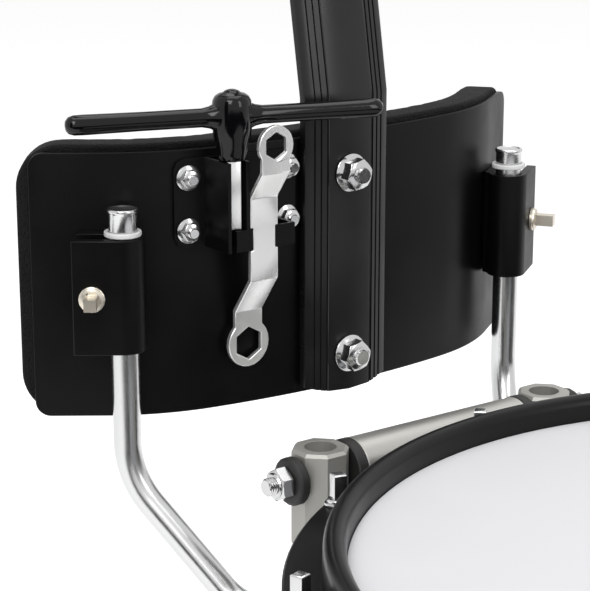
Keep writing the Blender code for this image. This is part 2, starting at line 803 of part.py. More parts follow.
def clamp_frame(side):
    """Local x runs outward along the plate, local y runs up, local z away from the plate."""
    angle = end_angle()
    outward = Vector((side * math.cos(angle), math.sin(angle), 0))
    away = Vector((side * math.sin(angle), -math.cos(angle), 0))
    frame = Matrix.Identity(4)
    frame.col[0][:3] = outward
    frame.col[1][:3] = away
    frame.col[2][:3] = (0, 0, 1)
    return frame


def add_rod_clamps():
    back = rod_to_plate() - GAP
    front_inner = 5.0
    back_inner = -4.6
    bore = ROD_RADIUS + GAP
    bore_front = math.degrees(math.asin(front_inner / bore))
    bore_back = math.degrees(math.asin(back_inner / bore))
    outline = [(FLAP_REACH, CLAMP_RADIUS)]
    outline += arc((0, 0), CLAMP_RADIUS, 90, 256, 12)
    outline += [(-1.0, -back), (FLAP_REACH - 1.0, -back), (FLAP_REACH - 1.0, back_inner)]
    outline += arc((0, 0), bore, 360 + bore_back, bore_front, 14)
    outline += [(FLAP_REACH, front_inner)]
    middle = (CLAMP_LOW + CLAMP_HIGH) / 2
    for name, side in (("rod_clamp_left", -1), ("rod_clamp_right", 1)):
        frame = clamp_frame(side)
        body = prism(outline, CLAMP_LOW - middle, CLAMP_HIGH - middle, frame)
        screw_way = frame @ moved(CLAMP_SCREW_REACH, 0, 0) @ Matrix.Rotation(math.radians(-90.0), 4, "X")
        hole = cylinder(2.9, -back - 2.0, CLAMP_RADIUS + 2.0, 12, screw_way)
        mesh = combined(body, removed=[hole])
        smooth(mesh)
        add_object(name, mesh, black_metal(), (side * ROD_X, ROD_Y, rim(-middle)))


def add_clamp_screws():
    back = rod_to_plate() - GAP
    seat = CLAMP_RADIUS + GAP
    profile = [(0, -back + 0.6), (2.5, -back + 0.6), (2.5, seat), (5.9, seat), (5.9, seat + 1.1),
               (5.5, seat + 1.3), (5.5, seat + 2.2), (3.9, seat + 2.6), (0, seat + 2.6)]
    half = SQUARE_HEAD / 2
    middle = (CLAMP_LOW + CLAMP_HIGH) / 2
    for name, side in (("clamp_screw_left", -1), ("clamp_screw_right", 1)):
        frame = clamp_frame(side)
        way = frame @ Matrix.Rotation(math.radians(-90.0), 4, "X")
        stem = turned(profile, 16, way)
        head = box((-half, -half, seat + 2.0), (half, half, seat + 11.6))
        bmesh.ops.transform(head, matrix=way, verts=head.verts)
        mesh = combined(stem, joined=[head])
        smooth(mesh)
        out = frame @ Vector((CLAMP_SCREW_REACH, 0, 0))
        add_object(name, mesh, nickel(), (side * ROD_X + out.x, ROD_Y + out.y, rim(-middle)))


def add_collars():
    inner = ROD_RADIUS + GAP
    profile = [(inner, 0.0), (8.1, 0.0), (8.4, 0.4), (8.4, 1.9), (8.1, 2.3), (inner, 2.3)]
    for name, side, lift in (("rod_collar_left", -1, GAP), ("rod_collar_right", 1, 3.0)):
        mesh = finish_mesh(turned(profile, 20), name)
        smooth(mesh)
        add_object(name, mesh, white_nylon(), (side * ROD_X, ROD_Y, rim(-CLAMP_HIGH - lift)))


def hook_path():
    """Points of (run towards the post, height) and headings down the hooked rod."""
    span = math.hypot(ROD_X - POST_X, ROD_Y - TUBE_Y)
    bend = FIRST_BEND_ANGLE
    run = FIRST_BEND_RADIUS * (1 - math.cos(bend)) + SECOND_BEND_RADIUS * (1 + math.cos(bend))
    straight = (span - run) / math.sin(bend)
    points = [(0.0, 40.0, 0.0)]
    for k in range(6):
        angle = bend * k / 5
        points.append((FIRST_BEND_RADIUS * (1 - math.cos(angle)),
                       ROD_BEND_START - FIRST_BEND_RADIUS * math.sin(angle), angle))
    last_run, last_height, _ = points[-1]
    last_run += straight * math.sin(bend)
    last_height -= straight * math.cos(bend)
    for k in range(13):
        angle = bend + (math.pi - bend) * k / 12
        points.append((last_run + SECOND_BEND_RADIUS * (math.cos(bend) - math.cos(angle)),
                       last_height - SECOND_BEND_RADIUS * (math.sin(angle) - math.sin(bend)), angle))
    tip = -(TUBE_DEPTH + BOLT_RADIUS + GAP)
    points.append((span, tip - 1.0, math.pi))
    points.append((span, tip, math.pi))
    return points


def add_hooked_rods():
    span = math.hypot(ROD_X - POST_X, ROD_Y - TUBE_Y)
    steps = 12
    for name, side in (("hooked_rod_left", -1), ("hooked_rod_right", 1)):
        toward = Vector((-side * (ROD_X - POST_X), TUBE_Y - ROD_Y, 0)) / span
        across = toward.cross(Vector((0, 0, 1)))
        down = Vector((0, 0, -1))
        stations = []
        cap = ((ROD_TOP - 1.2, 5.2), (ROD_TOP, 5.6), (ROD_TOP, 6.4), (ROD_TOP - 0.5, 6.95),
               (ROD_TOP - 1.6, 6.95), (ROD_TOP - 2.1, ROD_RADIUS))
        for height, radius in cap:
            stations.append((Vector((0, 0, height)), down, circle(radius, steps)))
        points = hook_path()
        for run, height, angle in points:
            along = down * math.cos(angle) + toward * math.sin(angle)
            radius = ROD_RADIUS
            if (run, height) == points[-1][:2]:
                radius -= 1.0
            stations.append((toward * run + Vector((0, 0, height)), along, circle(radius, steps)))
        mesh = finish_mesh(swept(stations, across), name)
        smooth(mesh)
        add_object(name, mesh, chrome(), (side * ROD_X, ROD_Y, RIM_Z))


# Key holder with the tuning key and the wrench

def add_key_holder():
    left_edge = -87.5
    right_edge = -26.9
    middle = (left_edge + right_edge) / 2
    half = (right_edge - left_edge) / 2
    bm = bmesh.new()
    rows = []
    height = (HOLDER_HIGH - HOLDER_LOW) / 2
    centre = (HOLDER_HIGH + HOLDER_LOW) / 2
    corner = 5.0
    stations = [-half, -half + 1.5, -half + corner] + [-half + corner + (2 * half - 2 * corner) * k / 6
                                                      for k in range(1, 7)] + [half - 1.5, half]
    for along in stations:
        into = max(abs(along) - (half - corner), 0.0)
        drop = corner - math.sqrt(max(corner * corner - into * into, 0.0))
        ring = []
        for offset in (-GAP, -GAP - HOLDER_SHEET):
            x, y, _ = plate_point(middle + along, offset)
            for z in (centre - height + drop, centre + height - drop):
                ring.append(bm.verts.new((x, y, rim(-z))))
        rows.append(ring)
    for first, second in zip(rows, rows[1:]):
        for a, b in ((0, 1), (1, 3), (3, 2), (2, 0)):
            bm.faces.new((first[a], first[b], second[b], second[a]))
    for ring in (rows[0], rows[-1]):
        bm.faces.new((ring[0], ring[1], ring[3], ring[2]))
    front = HOLDER_FRONT_Y
    back = plate_point(-67.0)[1] - GAP - HOLDER_SHEET / 2
    low = rim(-HOLDER_LOW)
    high = rim(-HOLDER_HIGH)
    tab_high = low + TAB_HEIGHT
    walls = [
        box((-73.5, front - 1.0, low + 0.1), (-71.7, back + 1.4, high - 0.1)),
        box((-63.6, front - 1.0, low + 0.1), (-61.8, back, high - 0.1)),
        box((-69.0, front - 1.0, low), (WRENCH_X - TAB_HALF_GAP, front + 0.8, tab_high)),
        box((WRENCH_X + TAB_HALF_GAP, front - 1.0, low), (-37.0, front + 0.8, tab_high)),
        box((-38.8, front, low), (-37.0, plate_point(-38.0)[1] - GAP - HOLDER_SHEET / 2, tab_high)),
    ]
    mesh = combined(bm, joined=walls)
    smooth(mesh)
    add_object("key_holder", mesh, black_metal())


def add_tuning_key():
    hub_low = HOLDER_HIGH + GAP
    bar_height = 121.0
    hub = turned([(0, hub_low), (6.2, hub_low), (6.6, hub_low + 3.0), (8.6, 113.0), (8.8, 127.5),
                  (6.4, 131.3), (2.6, 132.9), (0, 133.2)], 14)
    stations = []
    along = Vector((math.cos(KEY_TURN), math.sin(KEY_TURN), 0))
    left, right = -KEY_BAR_LEFT, KEY_BAR_RIGHT
    for reach, radius in ((left, 1.6), (left + 0.8, 3.2), (left + 4.2, 4.5), (-8.0, 4.5), (0.0, 5.4),
                          (8.0, 4.5), (right - 4.2, 4.3), (right - 0.8, 3.1), (right, 1.6)):
        stations.append((along * reach + Vector((0, 0, bar_height)), along, circle(radius, 10)))
    bar = swept(stations, (0, 0, 1))
    half = KEY_SHANK_SIDE / 2
    shank = box((-half, -half, HOLDER_LOW + TAB_HEIGHT + 0.4), (half, half, hub_low + 2.0))
    bmesh.ops.rotate(shank, matrix=Matrix.Rotation(KEY_TURN, 3, "Z"), verts=shank.verts)
    mesh = combined(hub, joined=[bar, shank])
    smooth(mesh)
    add_object("tuning_key", mesh, black_vinyl(), (KEY_X, KEY_Y, RIM_Z))


def add_wrench():
    half_thickness = 1.2
    half_width = 7.45
    upper_y, main_y, lower_y = 278.0, HOLDER_FRONT_Y, 300.0
    spine = [(upper_y, 106.0), (upper_y, 96.4), (main_y, 83.8), (main_y, 45.8), (lower_y, 28.5),
             (lower_y, 15.0)]
    slant = 0.35
    front = [(y - half_thickness, z - (slant if 0 < k < 5 else 0)) for k, (y, z) in enumerate(spine)]
    behind = [(y + half_thickness, z + (slant if 0 < k < 5 else 0)) for k, (y, z) in enumerate(spine)]
    outline = front + behind[::-1]
    sideways = Matrix(((0, 0, 1, 0), (1, 0, 0, 0), (0, 1, 0, 0), (0, 0, 0, 1)))
    strip = prism(outline, -half_width, half_width, sideways)
    joined = []
    removed = []
    for y, z, radius, flats in ((upper_y, 108.2, 9.3, 11.0), (lower_y, 12.5, 11.2, 13.6)):
        place = moved(0, y, z) @ ALONG_Y
        joined.append(cylinder(radius, -half_thickness, half_thickness, 24, place))
        corner = flats / 2 / math.cos(math.radians(30.0))
        removed.append(cylinder(corner, -6.0, 6.0, 6, place, math.radians(30.0)))
    notch_low = HOLDER_LOW - GAP
    notch_high = HOLDER_LOW + TAB_HEIGHT + GAP
    for side in (1, -1):
        ends = sorted((side * (TAB_HALF_GAP - GAP), side * (half_width + 2.0)))
        removed.append(box((ends[0], main_y - 5.0, notch_low), (ends[1], main_y + 5.0, notch_high)))
    mesh = combined(strip, joined=joined, removed=removed)
    smooth(mesh)
    add_object("wrench", mesh, chrome(), (WRENCH_X, 0, RIM_Z))


# Harness above the spine

def shoulder_points():
    """(y, z above the rim, heading from straight up) along a shoulder bar."""
    lean = SPINE_LEAN
    z = YOKE_LOW + 6.0
    behind = GAP + YOKE_THICKNESS + SHOULDER_BAR_THICKNESS / 2 - 0.6
    y = spine_front_y(z) + behind / math.cos(lean)
    points = [(y, z, lean)]
    y += SHOULDER_RISE * math.sin(lean)
    z += SHOULDER_RISE * math.cos(lean)
    steps = 16
    for k in range(steps + 1):
        angle = lean + (SHOULDER_END_ANGLE - lean) * k / steps
        points.append((y + SHOULDER_RADIUS * (math.cos(lean) - math.cos(angle)),
                       z + SHOULDER_RADIUS * (math.sin(angle) - math.sin(lean)), angle))
    y, z, angle = points[-1]
    points.append((y + BACK_LEG * math.sin(angle), z + BACK_LEG * math.cos(angle), angle))
    return points


def shoulder_stations(points, section, side):
    stations = []
    for y, z, angle in points:
        along = Vector((0, math.sin(angle), math.cos(angle)))
        stations.append((Vector((side * SHOULDER_X, y, rim(-z))), along, section))
    return stations


def add_harness():
    half_width = SHOULDER_BAR_WIDTH / 2
    half_thickness = SHOULDER_BAR_THICKNESS / 2
    section = [(-half_width, -half_thickness), (half_width, -half_thickness),
               (half_width, half_thickness), (-half_width, half_thickness)]
    points = shoulder_points()
    bars = [swept(shoulder_stations(points, section, side), (1, 0, 0)) for side in (1, -1)]
    tilt = Matrix.Rotation(-SPINE_LEAN, 4, "X")
    reach = SHOULDER_X + half_width
    yoke_z = (YOKE_LOW + YOKE_HIGH) / 2
    half_yoke = (YOKE_HIGH - YOKE_LOW) / 2
    yoke = box((-reach + 1.0, -YOKE_THICKNESS / 2, -half_yoke), (reach - 1.0, YOKE_THICKNESS / 2, half_yoke))
    yoke_y = spine_front_y(yoke_z) + (GAP + YOKE_THICKNESS / 2) / math.cos(SPINE_LEAN)
    bmesh.ops.transform(yoke, matrix=moved(0, yoke_y, rim(-yoke_z)) @ tilt, verts=yoke.verts)
    back_y = points[-1][0] + half_thickness
    back_z = points[-1][1]
    back_bar = box((-reach + 1.0, back_y - 1.0, rim(-back_z - 4.0)),
                   (reach - 1.0, back_y + BACK_BAR_THICKNESS, rim(-back_z - 44.0)))
    mesh = combined(yoke, joined=[*bars, back_bar])
    smooth(mesh)
    add_object("harness_frame", mesh, black_metal())


def add_shoulder_pads():
    points = [p for p in shoulder_points() if math.radians(20) < p[2] < math.radians(160)]
    start = SHOULDER_BAR_THICKNESS / 2 + GAP
    half = 29.0
    last = len(points) - 1
    for name, side in (("shoulder_pad_left", -1), ("shoulder_pad_right", 1)):
        stations = []
        for k, (y, z, angle) in enumerate(points):
            end = 0.62 if k in (0, last) else 1.0
            depth = 14.0 * end * (1.0 if k % 3 else 0.86)
            width = half * (0.93 if k in (0, last) else 1.0)
            section = [(-width + 3, -start), (-width, -start - depth * 0.4), (-width + 2, -start - depth * 0.75),
                       (-width * 0.5, -start - depth), (width * 0.5, -start - depth),
                       (width - 2, -start - depth * 0.75), (width, -start - depth * 0.4), (width - 3, -start)]
            along = Vector((0, math.sin(angle), math.cos(angle)))
            stations.append((Vector((side * SHOULDER_X, y, rim(-z))), along, section))
        mesh = finish_mesh(swept(stations, (1, 0, 0)), name)
        smooth(mesh)
        add_object(name, mesh, black_foam())


def build():
    clear_scene()
    place_axis()
    add_shell()
    add_hoops()
    add_heads()
    add_lugs()
    add_tension_rods()
    add_snares()
    add_strainer()
    add_butt_plate()
    add_stabiliser()
    add_receiver_posts()
    add_mount_bracket()
    add_plate()
    add_pad()
    add_spine()
    add_spine_bolts()
    add_rod_clamps()
    add_clamp_screws()
    add_collars()
    add_hooked_rods()
    add_key_holder()
    add_tuning_key()
    add_wrench()
    add_harness()
    add_shoulder_pads()


build()
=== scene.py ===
# %% [markdown]
# # A marching snare drum and its player's carrier
#
# The photograph is a close view of the carrier: a black belly plate with foam behind it, a
# grooved spine bar, two hooked rods in folded clamps, and a key holder with a tuning key and a
# wrench. The drum hangs from two posts on a cross tube, and only the back of its hoop is in view.
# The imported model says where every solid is. This script gives each of them its finish, and
# remakes the round and soft ones with finer meshes in the same places.

# %% Load the frame
import math

import bmesh
import bpy
from mathutils import Matrix, Vector, noise


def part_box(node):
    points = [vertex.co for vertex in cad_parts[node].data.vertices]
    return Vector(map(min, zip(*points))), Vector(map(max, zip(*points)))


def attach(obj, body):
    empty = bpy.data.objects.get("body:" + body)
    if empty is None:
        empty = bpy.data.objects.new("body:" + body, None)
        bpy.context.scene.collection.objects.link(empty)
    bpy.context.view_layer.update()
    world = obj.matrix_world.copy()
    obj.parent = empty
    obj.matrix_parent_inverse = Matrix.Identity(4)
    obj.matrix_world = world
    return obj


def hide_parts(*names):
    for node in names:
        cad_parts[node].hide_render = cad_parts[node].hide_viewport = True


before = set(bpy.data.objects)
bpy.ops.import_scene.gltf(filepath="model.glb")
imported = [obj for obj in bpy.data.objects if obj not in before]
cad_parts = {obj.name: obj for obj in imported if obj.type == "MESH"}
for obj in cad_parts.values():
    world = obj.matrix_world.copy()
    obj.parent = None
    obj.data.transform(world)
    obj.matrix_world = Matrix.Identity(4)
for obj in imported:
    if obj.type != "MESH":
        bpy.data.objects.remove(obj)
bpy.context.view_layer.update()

# %% [markdown]
# ## Units and the drum's own axis
#
# A drum is drawn best around its axis and down from its rim, so pieces are modelled in
# millimetres from the middle of the top rim. The axis and the rim's height are read from the
# packed shell and top hoop, so that a piece lands on its solid without any fitting.

# %% Read the drum's place from the frame
MM = 0.001
shell_low, shell_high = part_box("drum_shell")
hoop_low, hoop_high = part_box("top_hoop")
rim_centre = Vector(((shell_low.x + shell_high.x) / 2, (shell_low.y + shell_high.y) / 2, hoop_high.z))
rim_height = rim_centre.z / MM
shell_radius = (shell_high.x - shell_low.x) / 2 / MM
print("rim centre", tuple(round(v, 4) for v in rim_centre), "shell radius", round(shell_radius, 1), "mm")


def local_box(node):
    """A node's lowest and highest corner in millimetres from the rim's centre."""
    low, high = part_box(node)
    return (low - rim_centre) / MM, (high - rim_centre) / MM


# %% [markdown]
# ## Camera
#
# The photograph was taken with a long lens from the player's front left, a little above the
# plate. Its place comes from fitting one camera to the hoop, the rods, the posts and the plate.

# %% Set the camera
CAMERA_MM = Vector((-570.8, -439.35, 282.8))
CAMERA_YAW = math.radians(36.34)
CAMERA_PITCH = math.radians(-15.37)
LENS = 124.374
camera_data = bpy.data.cameras.new("camera")
camera_data.lens = LENS
camera_data.sensor_fit = "HORIZONTAL"
camera_data.sensor_width = 36.0
camera_data.clip_end = 50.0
camera = bpy.data.objects.new("camera", camera_data)
camera.location = CAMERA_MM * MM + rim_centre
camera.rotation_euler = (math.radians(90.0) + CAMERA_PITCH, 0.0, -CAMERA_YAW)
bpy.context.scene.collection.objects.link(camera)
bpy.context.scene.camera = camera
print("camera at", tuple(round(v, 3) for v in camera.location))

# %% [markdown]
# ## Floor, background and lights
#
# Studio photographs of black hardware use large soft lights, a white background, and dark cards
# that give the chrome its dark edges and keep the black black. The white comes from the world and
# from the floor where the camera or a reflection sees them, and the floor keeps the shadow.

# %% Make the world and the floor
scene = bpy.context.scene
scene.view_settings.view_transform = "Standard"
WORLD_LIGHT = 0.42
world = bpy.data.worlds.new("studio")
scene.world = world
world.use_nodes = True
nodes, links = world.node_tree.nodes, world.node_tree.links
nodes.clear()
soft = nodes.new("ShaderNodeBackground")
soft.inputs["Color"].default_value = (1.0, 1.0, 1.0, 1.0)
soft.inputs["Strength"].default_value = WORLD_LIGHT
seen = nodes.new("ShaderNodeBackground")
seen.inputs["Color"].default_value = (1.0, 1.0, 1.0, 1.0)
seen.inputs["Strength"].default_value = 1.0
path = nodes.new("ShaderNodeLightPath")
direct = nodes.new("ShaderNodeMath")
direct.operation = "MAXIMUM"
links.new(path.outputs["Is Camera Ray"], direct.inputs[0])
links.new(path.outputs["Is Glossy Ray"], direct.inputs[1])
either = nodes.new("ShaderNodeMath")
either.operation = "MAXIMUM"
links.new(direct.outputs[0], either.inputs[0])
links.new(path.outputs["Is Transmission Ray"], either.inputs[1])
choose = nodes.new("ShaderNodeMixShader")
links.new(either.outputs[0], choose.inputs[0])
links.new(soft.outputs[0], choose.inputs[1])
links.new(seen.outputs[0], choose.inputs[2])
output = nodes.new("ShaderNodeOutputWorld")
links.new(choose.outputs[0], output.inputs["Surface"])


def stage_plane(name, size, place, turn, colour):
    bm = bmesh.new()
    bmesh.ops.create_grid(bm, x_segments=1, y_segments=1, size=0.5)
    bmesh.ops.scale(bm, vec=(size[0], size[1], 1.0), verts=bm.verts)
    bmesh.ops.rotate(bm, matrix=Matrix.Rotation(turn[0], 3, "X"), verts=bm.verts)
    bmesh.ops.rotate(bm, matrix=Matrix.Rotation(turn[1], 3, "Z"), verts=bm.verts)
    bmesh.ops.translate(bm, vec=place, verts=bm.verts)
    mesh = bpy.data.meshes.new(name)
    bm.to_mesh(mesh)
    bm.free()
    plane = bpy.data.objects.new(name, mesh)
    scene.collection.objects.link(plane)
    card = bpy.data.materials.new(name)
    card.use_nodes = True
    shader = card.node_tree.nodes["Principled BSDF"]
    shader.inputs["Base Color"].default_value = (*colour, 1.0)
    shader.inputs["Roughness"].default_value = 0.9
    shader.inputs["Specular IOR Level"].default_value = 0.0
    mesh.materials.append(card)
    return plane


FLOOR_LIFT = 0.55
floor = stage_plane("floor", (14.0, 14.0), (0.0, 0.0, -0.0005), (0.0, 0.0), (0.93, 0.93, 0.93))
floor_tree = floor.data.materials[0].node_tree
floor_shader = floor_tree.nodes["Principled BSDF"]
floor_shader.inputs["Emission Color"].default_value = (1.0, 1.0, 1.0, 1.0)
seen_by = floor_tree.nodes.new("ShaderNodeLightPath")
strongest = seen_by.outputs["Is Camera Ray"]
for ray in ("Is Glossy Ray", "Is Transmission Ray"):
    larger = floor_tree.nodes.new("ShaderNodeMath")
    larger.operation = "MAXIMUM"
    floor_tree.links.new(strongest, larger.inputs[0])
    floor_tree.links.new(seen_by.outputs[ray], larger.inputs[1])
    strongest = larger.outputs[0]
lift = floor_tree.nodes.new("ShaderNodeMath")
lift.operation = "MULTIPLY"
lift.inputs[1].default_value = FLOOR_LIFT
floor_tree.links.new(strongest, lift.inputs[0])
floor_tree.links.new(lift.outputs[0], floor_shader.inputs["Emission Strength"])
print("floor and world are in place")

# %% [markdown]
# One dark card lies on the floor in front of the drum and one stands to the left. Only reflections
# see them: the chrome gets its dark edges, and the black plate stays black where it faces the
# camera and turns lighter towards its far end, where it mirrors the white floor past the card.

# %% Lay out the dark cards
def dark_card(name, size, place, turn):
    card = stage_plane(name, size, place, turn, (0.02, 0.02, 0.02))
    card.visible_camera = False
    card.visible_diffuse = False
    card.visible_transmission = False
    card.visible_shadow = False


dark_card("card_front", (4.4, 3.2), (-0.7, -2.0, 0.004), (0.0, 0.0))
dark_card("card_left", (0.55, 1.6), (-1.35, -0.45, 0.81), (math.radians(90.0), math.radians(-70.0)))
print("dark cards are in place")


# %% Hang the lights
def softbox(name, place, aim, size, energy):
    light = bpy.data.lights.new(name, "AREA")
    light.shape = "RECTANGLE"
    light.size = size[0]
    light.size_y = size[1]
    light.energy = energy
    lamp = bpy.data.objects.new(name, light)
    lamp.location = place
    lamp.rotation_euler = (Vector(aim) - Vector(place)).to_track_quat("-Z", "Y").to_euler()
    scene.collection.objects.link(lamp)


softbox("key_light", (-1.3, -0.9, 1.7), (0.0, 0.1, 0.4), (0.9, 1.2), 22.0)
softbox("fill_light", (0.5, -1.9, 1.3), (0.0, 0.1, 0.4), (0.5, 1.4), 9.0)
softbox("top_light", (0.2, 0.3, 2.1), (0.0, 0.0, 0.3), (1.4, 1.4), 14.0)
print("three soft lights")

# %% [markdown]
# ## Finishes
#
# Each finish is one short function. They share a small helper that starts a material, adds a
# fine grain to its roughness and a bump, and leaves every uniform value on the shader itself.
# Grain sizes are real: a powder coat has dimples of about half a millimetre, and drawn
# aluminium has streaks along the tube.


# %% A helper for every finish
def finish(name, colour, roughness, metallic=0.0, grain_mm=0.6, depth_mm=0.01, spread=0.08,
           stretch=(1.0, 1.0, 1.0), tint=0.15, specular=0.5, coat=0.0):
    made = bpy.data.materials.new(name)
    made.use_nodes = True
    tree = made.node_tree
    shader = tree.nodes["Principled BSDF"]
    shader.inputs["Metallic"].default_value = metallic
    shader.inputs["Specular IOR Level"].default_value = specular
    shader.inputs["Coat Weight"].default_value = coat
    shader.inputs["Coat Roughness"].default_value = 0.08
    place = tree.nodes.new("ShaderNodeTexCoord")
    turn = tree.nodes.new("ShaderNodeMapping")
    turn.inputs["Scale"].default_value = stretch
    tree.links.new(place.outputs["Object"], turn.inputs["Vector"])
    fine = tree.nodes.new("ShaderNodeTexNoise")
    fine.inputs["Scale"].default_value = 1000.0 / grain_mm
    fine.inputs["Detail"].default_value = 3.0
    tree.links.new(turn.outputs[0], fine.inputs["Vector"])
    broad = tree.nodes.new("ShaderNodeTexNoise")
    broad.inputs["Scale"].default_value = 28.0
    broad.inputs["Detail"].default_value = 4.0
    tree.links.new(turn.outputs[0], broad.inputs["Vector"])
    uneven = tree.nodes.new("ShaderNodeMapRange")
    uneven.inputs["From Min"].default_value = 0.3
    uneven.inputs["From Max"].default_value = 0.7
    uneven.inputs["To Min"].default_value = max(roughness - spread, 0.02)
    uneven.inputs["To Max"].default_value = roughness + spread
    tree.links.new(broad.outputs["Fac"], uneven.inputs["Value"])
    tree.links.new(uneven.outputs[0], shader.inputs["Roughness"])
    shade = tree.nodes.new("ShaderNodeMix")
    shade.data_type = "RGBA"
    shade.inputs["A"].default_value = (*[c * (1.0 - tint) for c in colour], 1.0)
    shade.inputs["B"].default_value = (*[min(c * (1.0 + tint), 1.0) for c in colour], 1.0)
    tree.links.new(broad.outputs["Fac"], shade.inputs["Factor"])
    tree.links.new(shade.outputs["Result"], shader.inputs["Base Color"])
    bump = tree.nodes.new("ShaderNodeBump")
    bump.inputs["Distance"].default_value = depth_mm * MM
    bump.inputs["Strength"].default_value = 1.0
    tree.links.new(fine.outputs["Fac"], bump.inputs["Height"])
    tree.links.new(bump.outputs["Normal"], shader.inputs["Normal"])
    return made


# %% Make the metal and plastic finishes
satin_black = finish("satin_black", (0.0022, 0.0022, 0.0022), 0.38, grain_mm=0.5, depth_mm=0.003, specular=0.14)
spine_black = finish("spine_black", (0.0036, 0.0036, 0.0038), 0.32, grain_mm=0.5, depth_mm=0.003, specular=0.36)
hoop_black = finish("hoop_black", (0.0042, 0.0042, 0.0043), 0.36, grain_mm=0.7, depth_mm=0.006, specular=0.18)
bright_chrome = finish("bright_chrome", (0.72, 0.73, 0.74), 0.09, 1.0, grain_mm=1.5, depth_mm=0.002,
                       spread=0.03, tint=0.04)
rod_chrome = finish("rod_chrome", (0.60, 0.605, 0.605), 0.23, 1.0, grain_mm=1.2, depth_mm=0.003, spread=0.05,
                    tint=0.05)
brushed_steel = finish("brushed_steel", (0.86, 0.86, 0.85), 0.3, 0.82, grain_mm=0.5, depth_mm=0.004, spread=0.07,
                       stretch=(1.0, 1.0, 0.12), tint=0.06)
zinc = finish("zinc", (0.56, 0.565, 0.565), 0.17, 1.0, grain_mm=0.8, depth_mm=0.006, spread=0.06, tint=0.1)
warm_nickel = finish("warm_nickel", (0.66, 0.61, 0.52), 0.34, 0.9, grain_mm=0.8, depth_mm=0.006)
satin_aluminium = finish("satin_aluminium", (0.47, 0.465, 0.44), 0.46, 0.85, grain_mm=0.35,
                         depth_mm=0.006, stretch=(0.08, 1.0, 1.0), tint=0.08)
cast_aluminium = finish("cast_aluminium", (0.40, 0.395, 0.37), 0.52, 0.7, grain_mm=0.4, depth_mm=0.01)
gloss_vinyl = finish("gloss_vinyl", (0.002, 0.002, 0.0025), 0.1, grain_mm=4.0, depth_mm=0.03,
                     spread=0.03, specular=0.3)
matt_rubber = finish("matt_rubber", (0.012, 0.012, 0.011), 0.6, grain_mm=0.5, depth_mm=0.015)
milky_nylon = finish("milky_nylon", (0.74, 0.75, 0.74), 0.35, grain_mm=0.8, depth_mm=0.006, tint=0.03)
drum_film = finish("drum_film", (0.72, 0.72, 0.735), 0.55, grain_mm=0.45, depth_mm=0.006, tint=0.01,
                   specular=0.3)
grey_lacquer = finish("grey_lacquer", (0.60, 0.61, 0.63), 0.22, grain_mm=3.0, depth_mm=0.01, tint=0.04,
                      coat=0.6)
print("finishes:", len(bpy.data.materials))


# %% [markdown]
# The pads are open foam under a thin skin: black, with pores of about a millimetre, and light
# specks in them that are painted highlights on the pore rims. Cells from a Voronoi texture give
# the pores, and a noise breaks up their size, which a noise alone can't do because pores have
# sharp rims.

# %% Make the foam
def foam_finish():
    made = finish("open_foam", (0.005, 0.005, 0.005), 0.8, grain_mm=2.5, depth_mm=0.4, tint=0.5, specular=0.2)
    tree = made.node_tree
    shader = tree.nodes["Principled BSDF"]
    place = tree.nodes.new("ShaderNodeTexCoord")
    pores = tree.nodes.new("ShaderNodeTexVoronoi")
    pores.inputs["Scale"].default_value = 700.0
    tree.links.new(place.outputs["Object"], pores.inputs["Vector"])
    rim = tree.nodes.new("ShaderNodeMapRange")
    rim.inputs["From Min"].default_value = 0.15
    rim.inputs["From Max"].default_value = 0.5
    tree.links.new(pores.outputs["Distance"], rim.inputs["Value"])
    bump = tree.nodes.new("ShaderNodeBump")
    bump.inputs["Distance"].default_value = 0.35 * MM
    tree.links.new(rim.outputs[0], bump.inputs["Height"])
    first = next(n for n in tree.nodes if n.type == "BUMP" and n != bump)
    tree.links.new(first.outputs["Normal"], bump.inputs["Normal"])
    tree.links.new(bump.outputs["Normal"], shader.inputs["Normal"])
    # Painted highlights: where a fine noise peaks, a light grey is mixed into the base colour as specks that
    # stand in for glints on the pore rims.
    glint_specks = tree.nodes.new("ShaderNodeTexNoise")
    glint_specks.inputs["Scale"].default_value = 420.0
    glint_specks.inputs["Detail"].default_value = 6.0
    tree.links.new(place.outputs["Object"], glint_specks.inputs["Vector"])
    few = tree.nodes.new("ShaderNodeMapRange")
    few.inputs["From Min"].default_value = 0.70
    few.inputs["From Max"].default_value = 0.78
    tree.links.new(glint_specks.outputs["Fac"], few.inputs["Value"])
    painted_glints = tree.nodes.new("ShaderNodeMix")
    painted_glints.data_type = "RGBA"
    painted_glints.inputs["B"].default_value = (0.12, 0.12, 0.115, 1.0)
    base = next(n for n in tree.nodes if n.type == "MIX" and n != painted_glints)
    tree.links.new(base.outputs["Result"], painted_glints.inputs["A"])
    tree.links.new(few.outputs[0], painted_glints.inputs["Factor"])
    tree.links.new(painted_glints.outputs["Result"], shader.inputs["Base Color"])
    return made


open_foam = foam_finish()
print("foam is ready")


# %% [markdown]
# ## Helpers for meshes
#
# A piece is drawn in millimetres from the rim's centre, then `place_piece` merges its doubles,
# turns its faces outwards, brings it to metres, gives it its finish and its body, and hides the
# solids that it stands for.

# %% Turn a bmesh into a piece
def place_piece(name, bm, look, body, stands_for=(), sharp=32.0, recalc=True):
    bmesh.ops.remove_doubles(bm, verts=bm.verts, dist=0.002)
    if recalc:
        bmesh.ops.recalc_face_normals(bm, faces=bm.faces)
    bmesh.ops.scale(bm, vec=(MM, MM, MM), verts=bm.verts)
    bmesh.ops.translate(bm, vec=rim_centre, verts=bm.verts)
    mesh = bpy.data.meshes.new(name)
    bm.to_mesh(mesh)
    bm.free()
    mesh.shade_smooth()
    mesh.set_sharp_from_angle(angle=math.radians(sharp))
    mesh.materials.append(look)
    piece = bpy.data.objects.new(name, mesh)
    scene.collection.objects.link(piece)
    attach(piece, body)
    if stands_for:
        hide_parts(*stands_for)
    return piece


def join_into(target, source):
    """Move all of one bmesh into another."""
    scratch = bpy.data.meshes.new("scratch")
    source.to_mesh(scratch)
    source.free()
    target.from_mesh(scratch)
    bpy.data.meshes.remove(scratch)
    return target


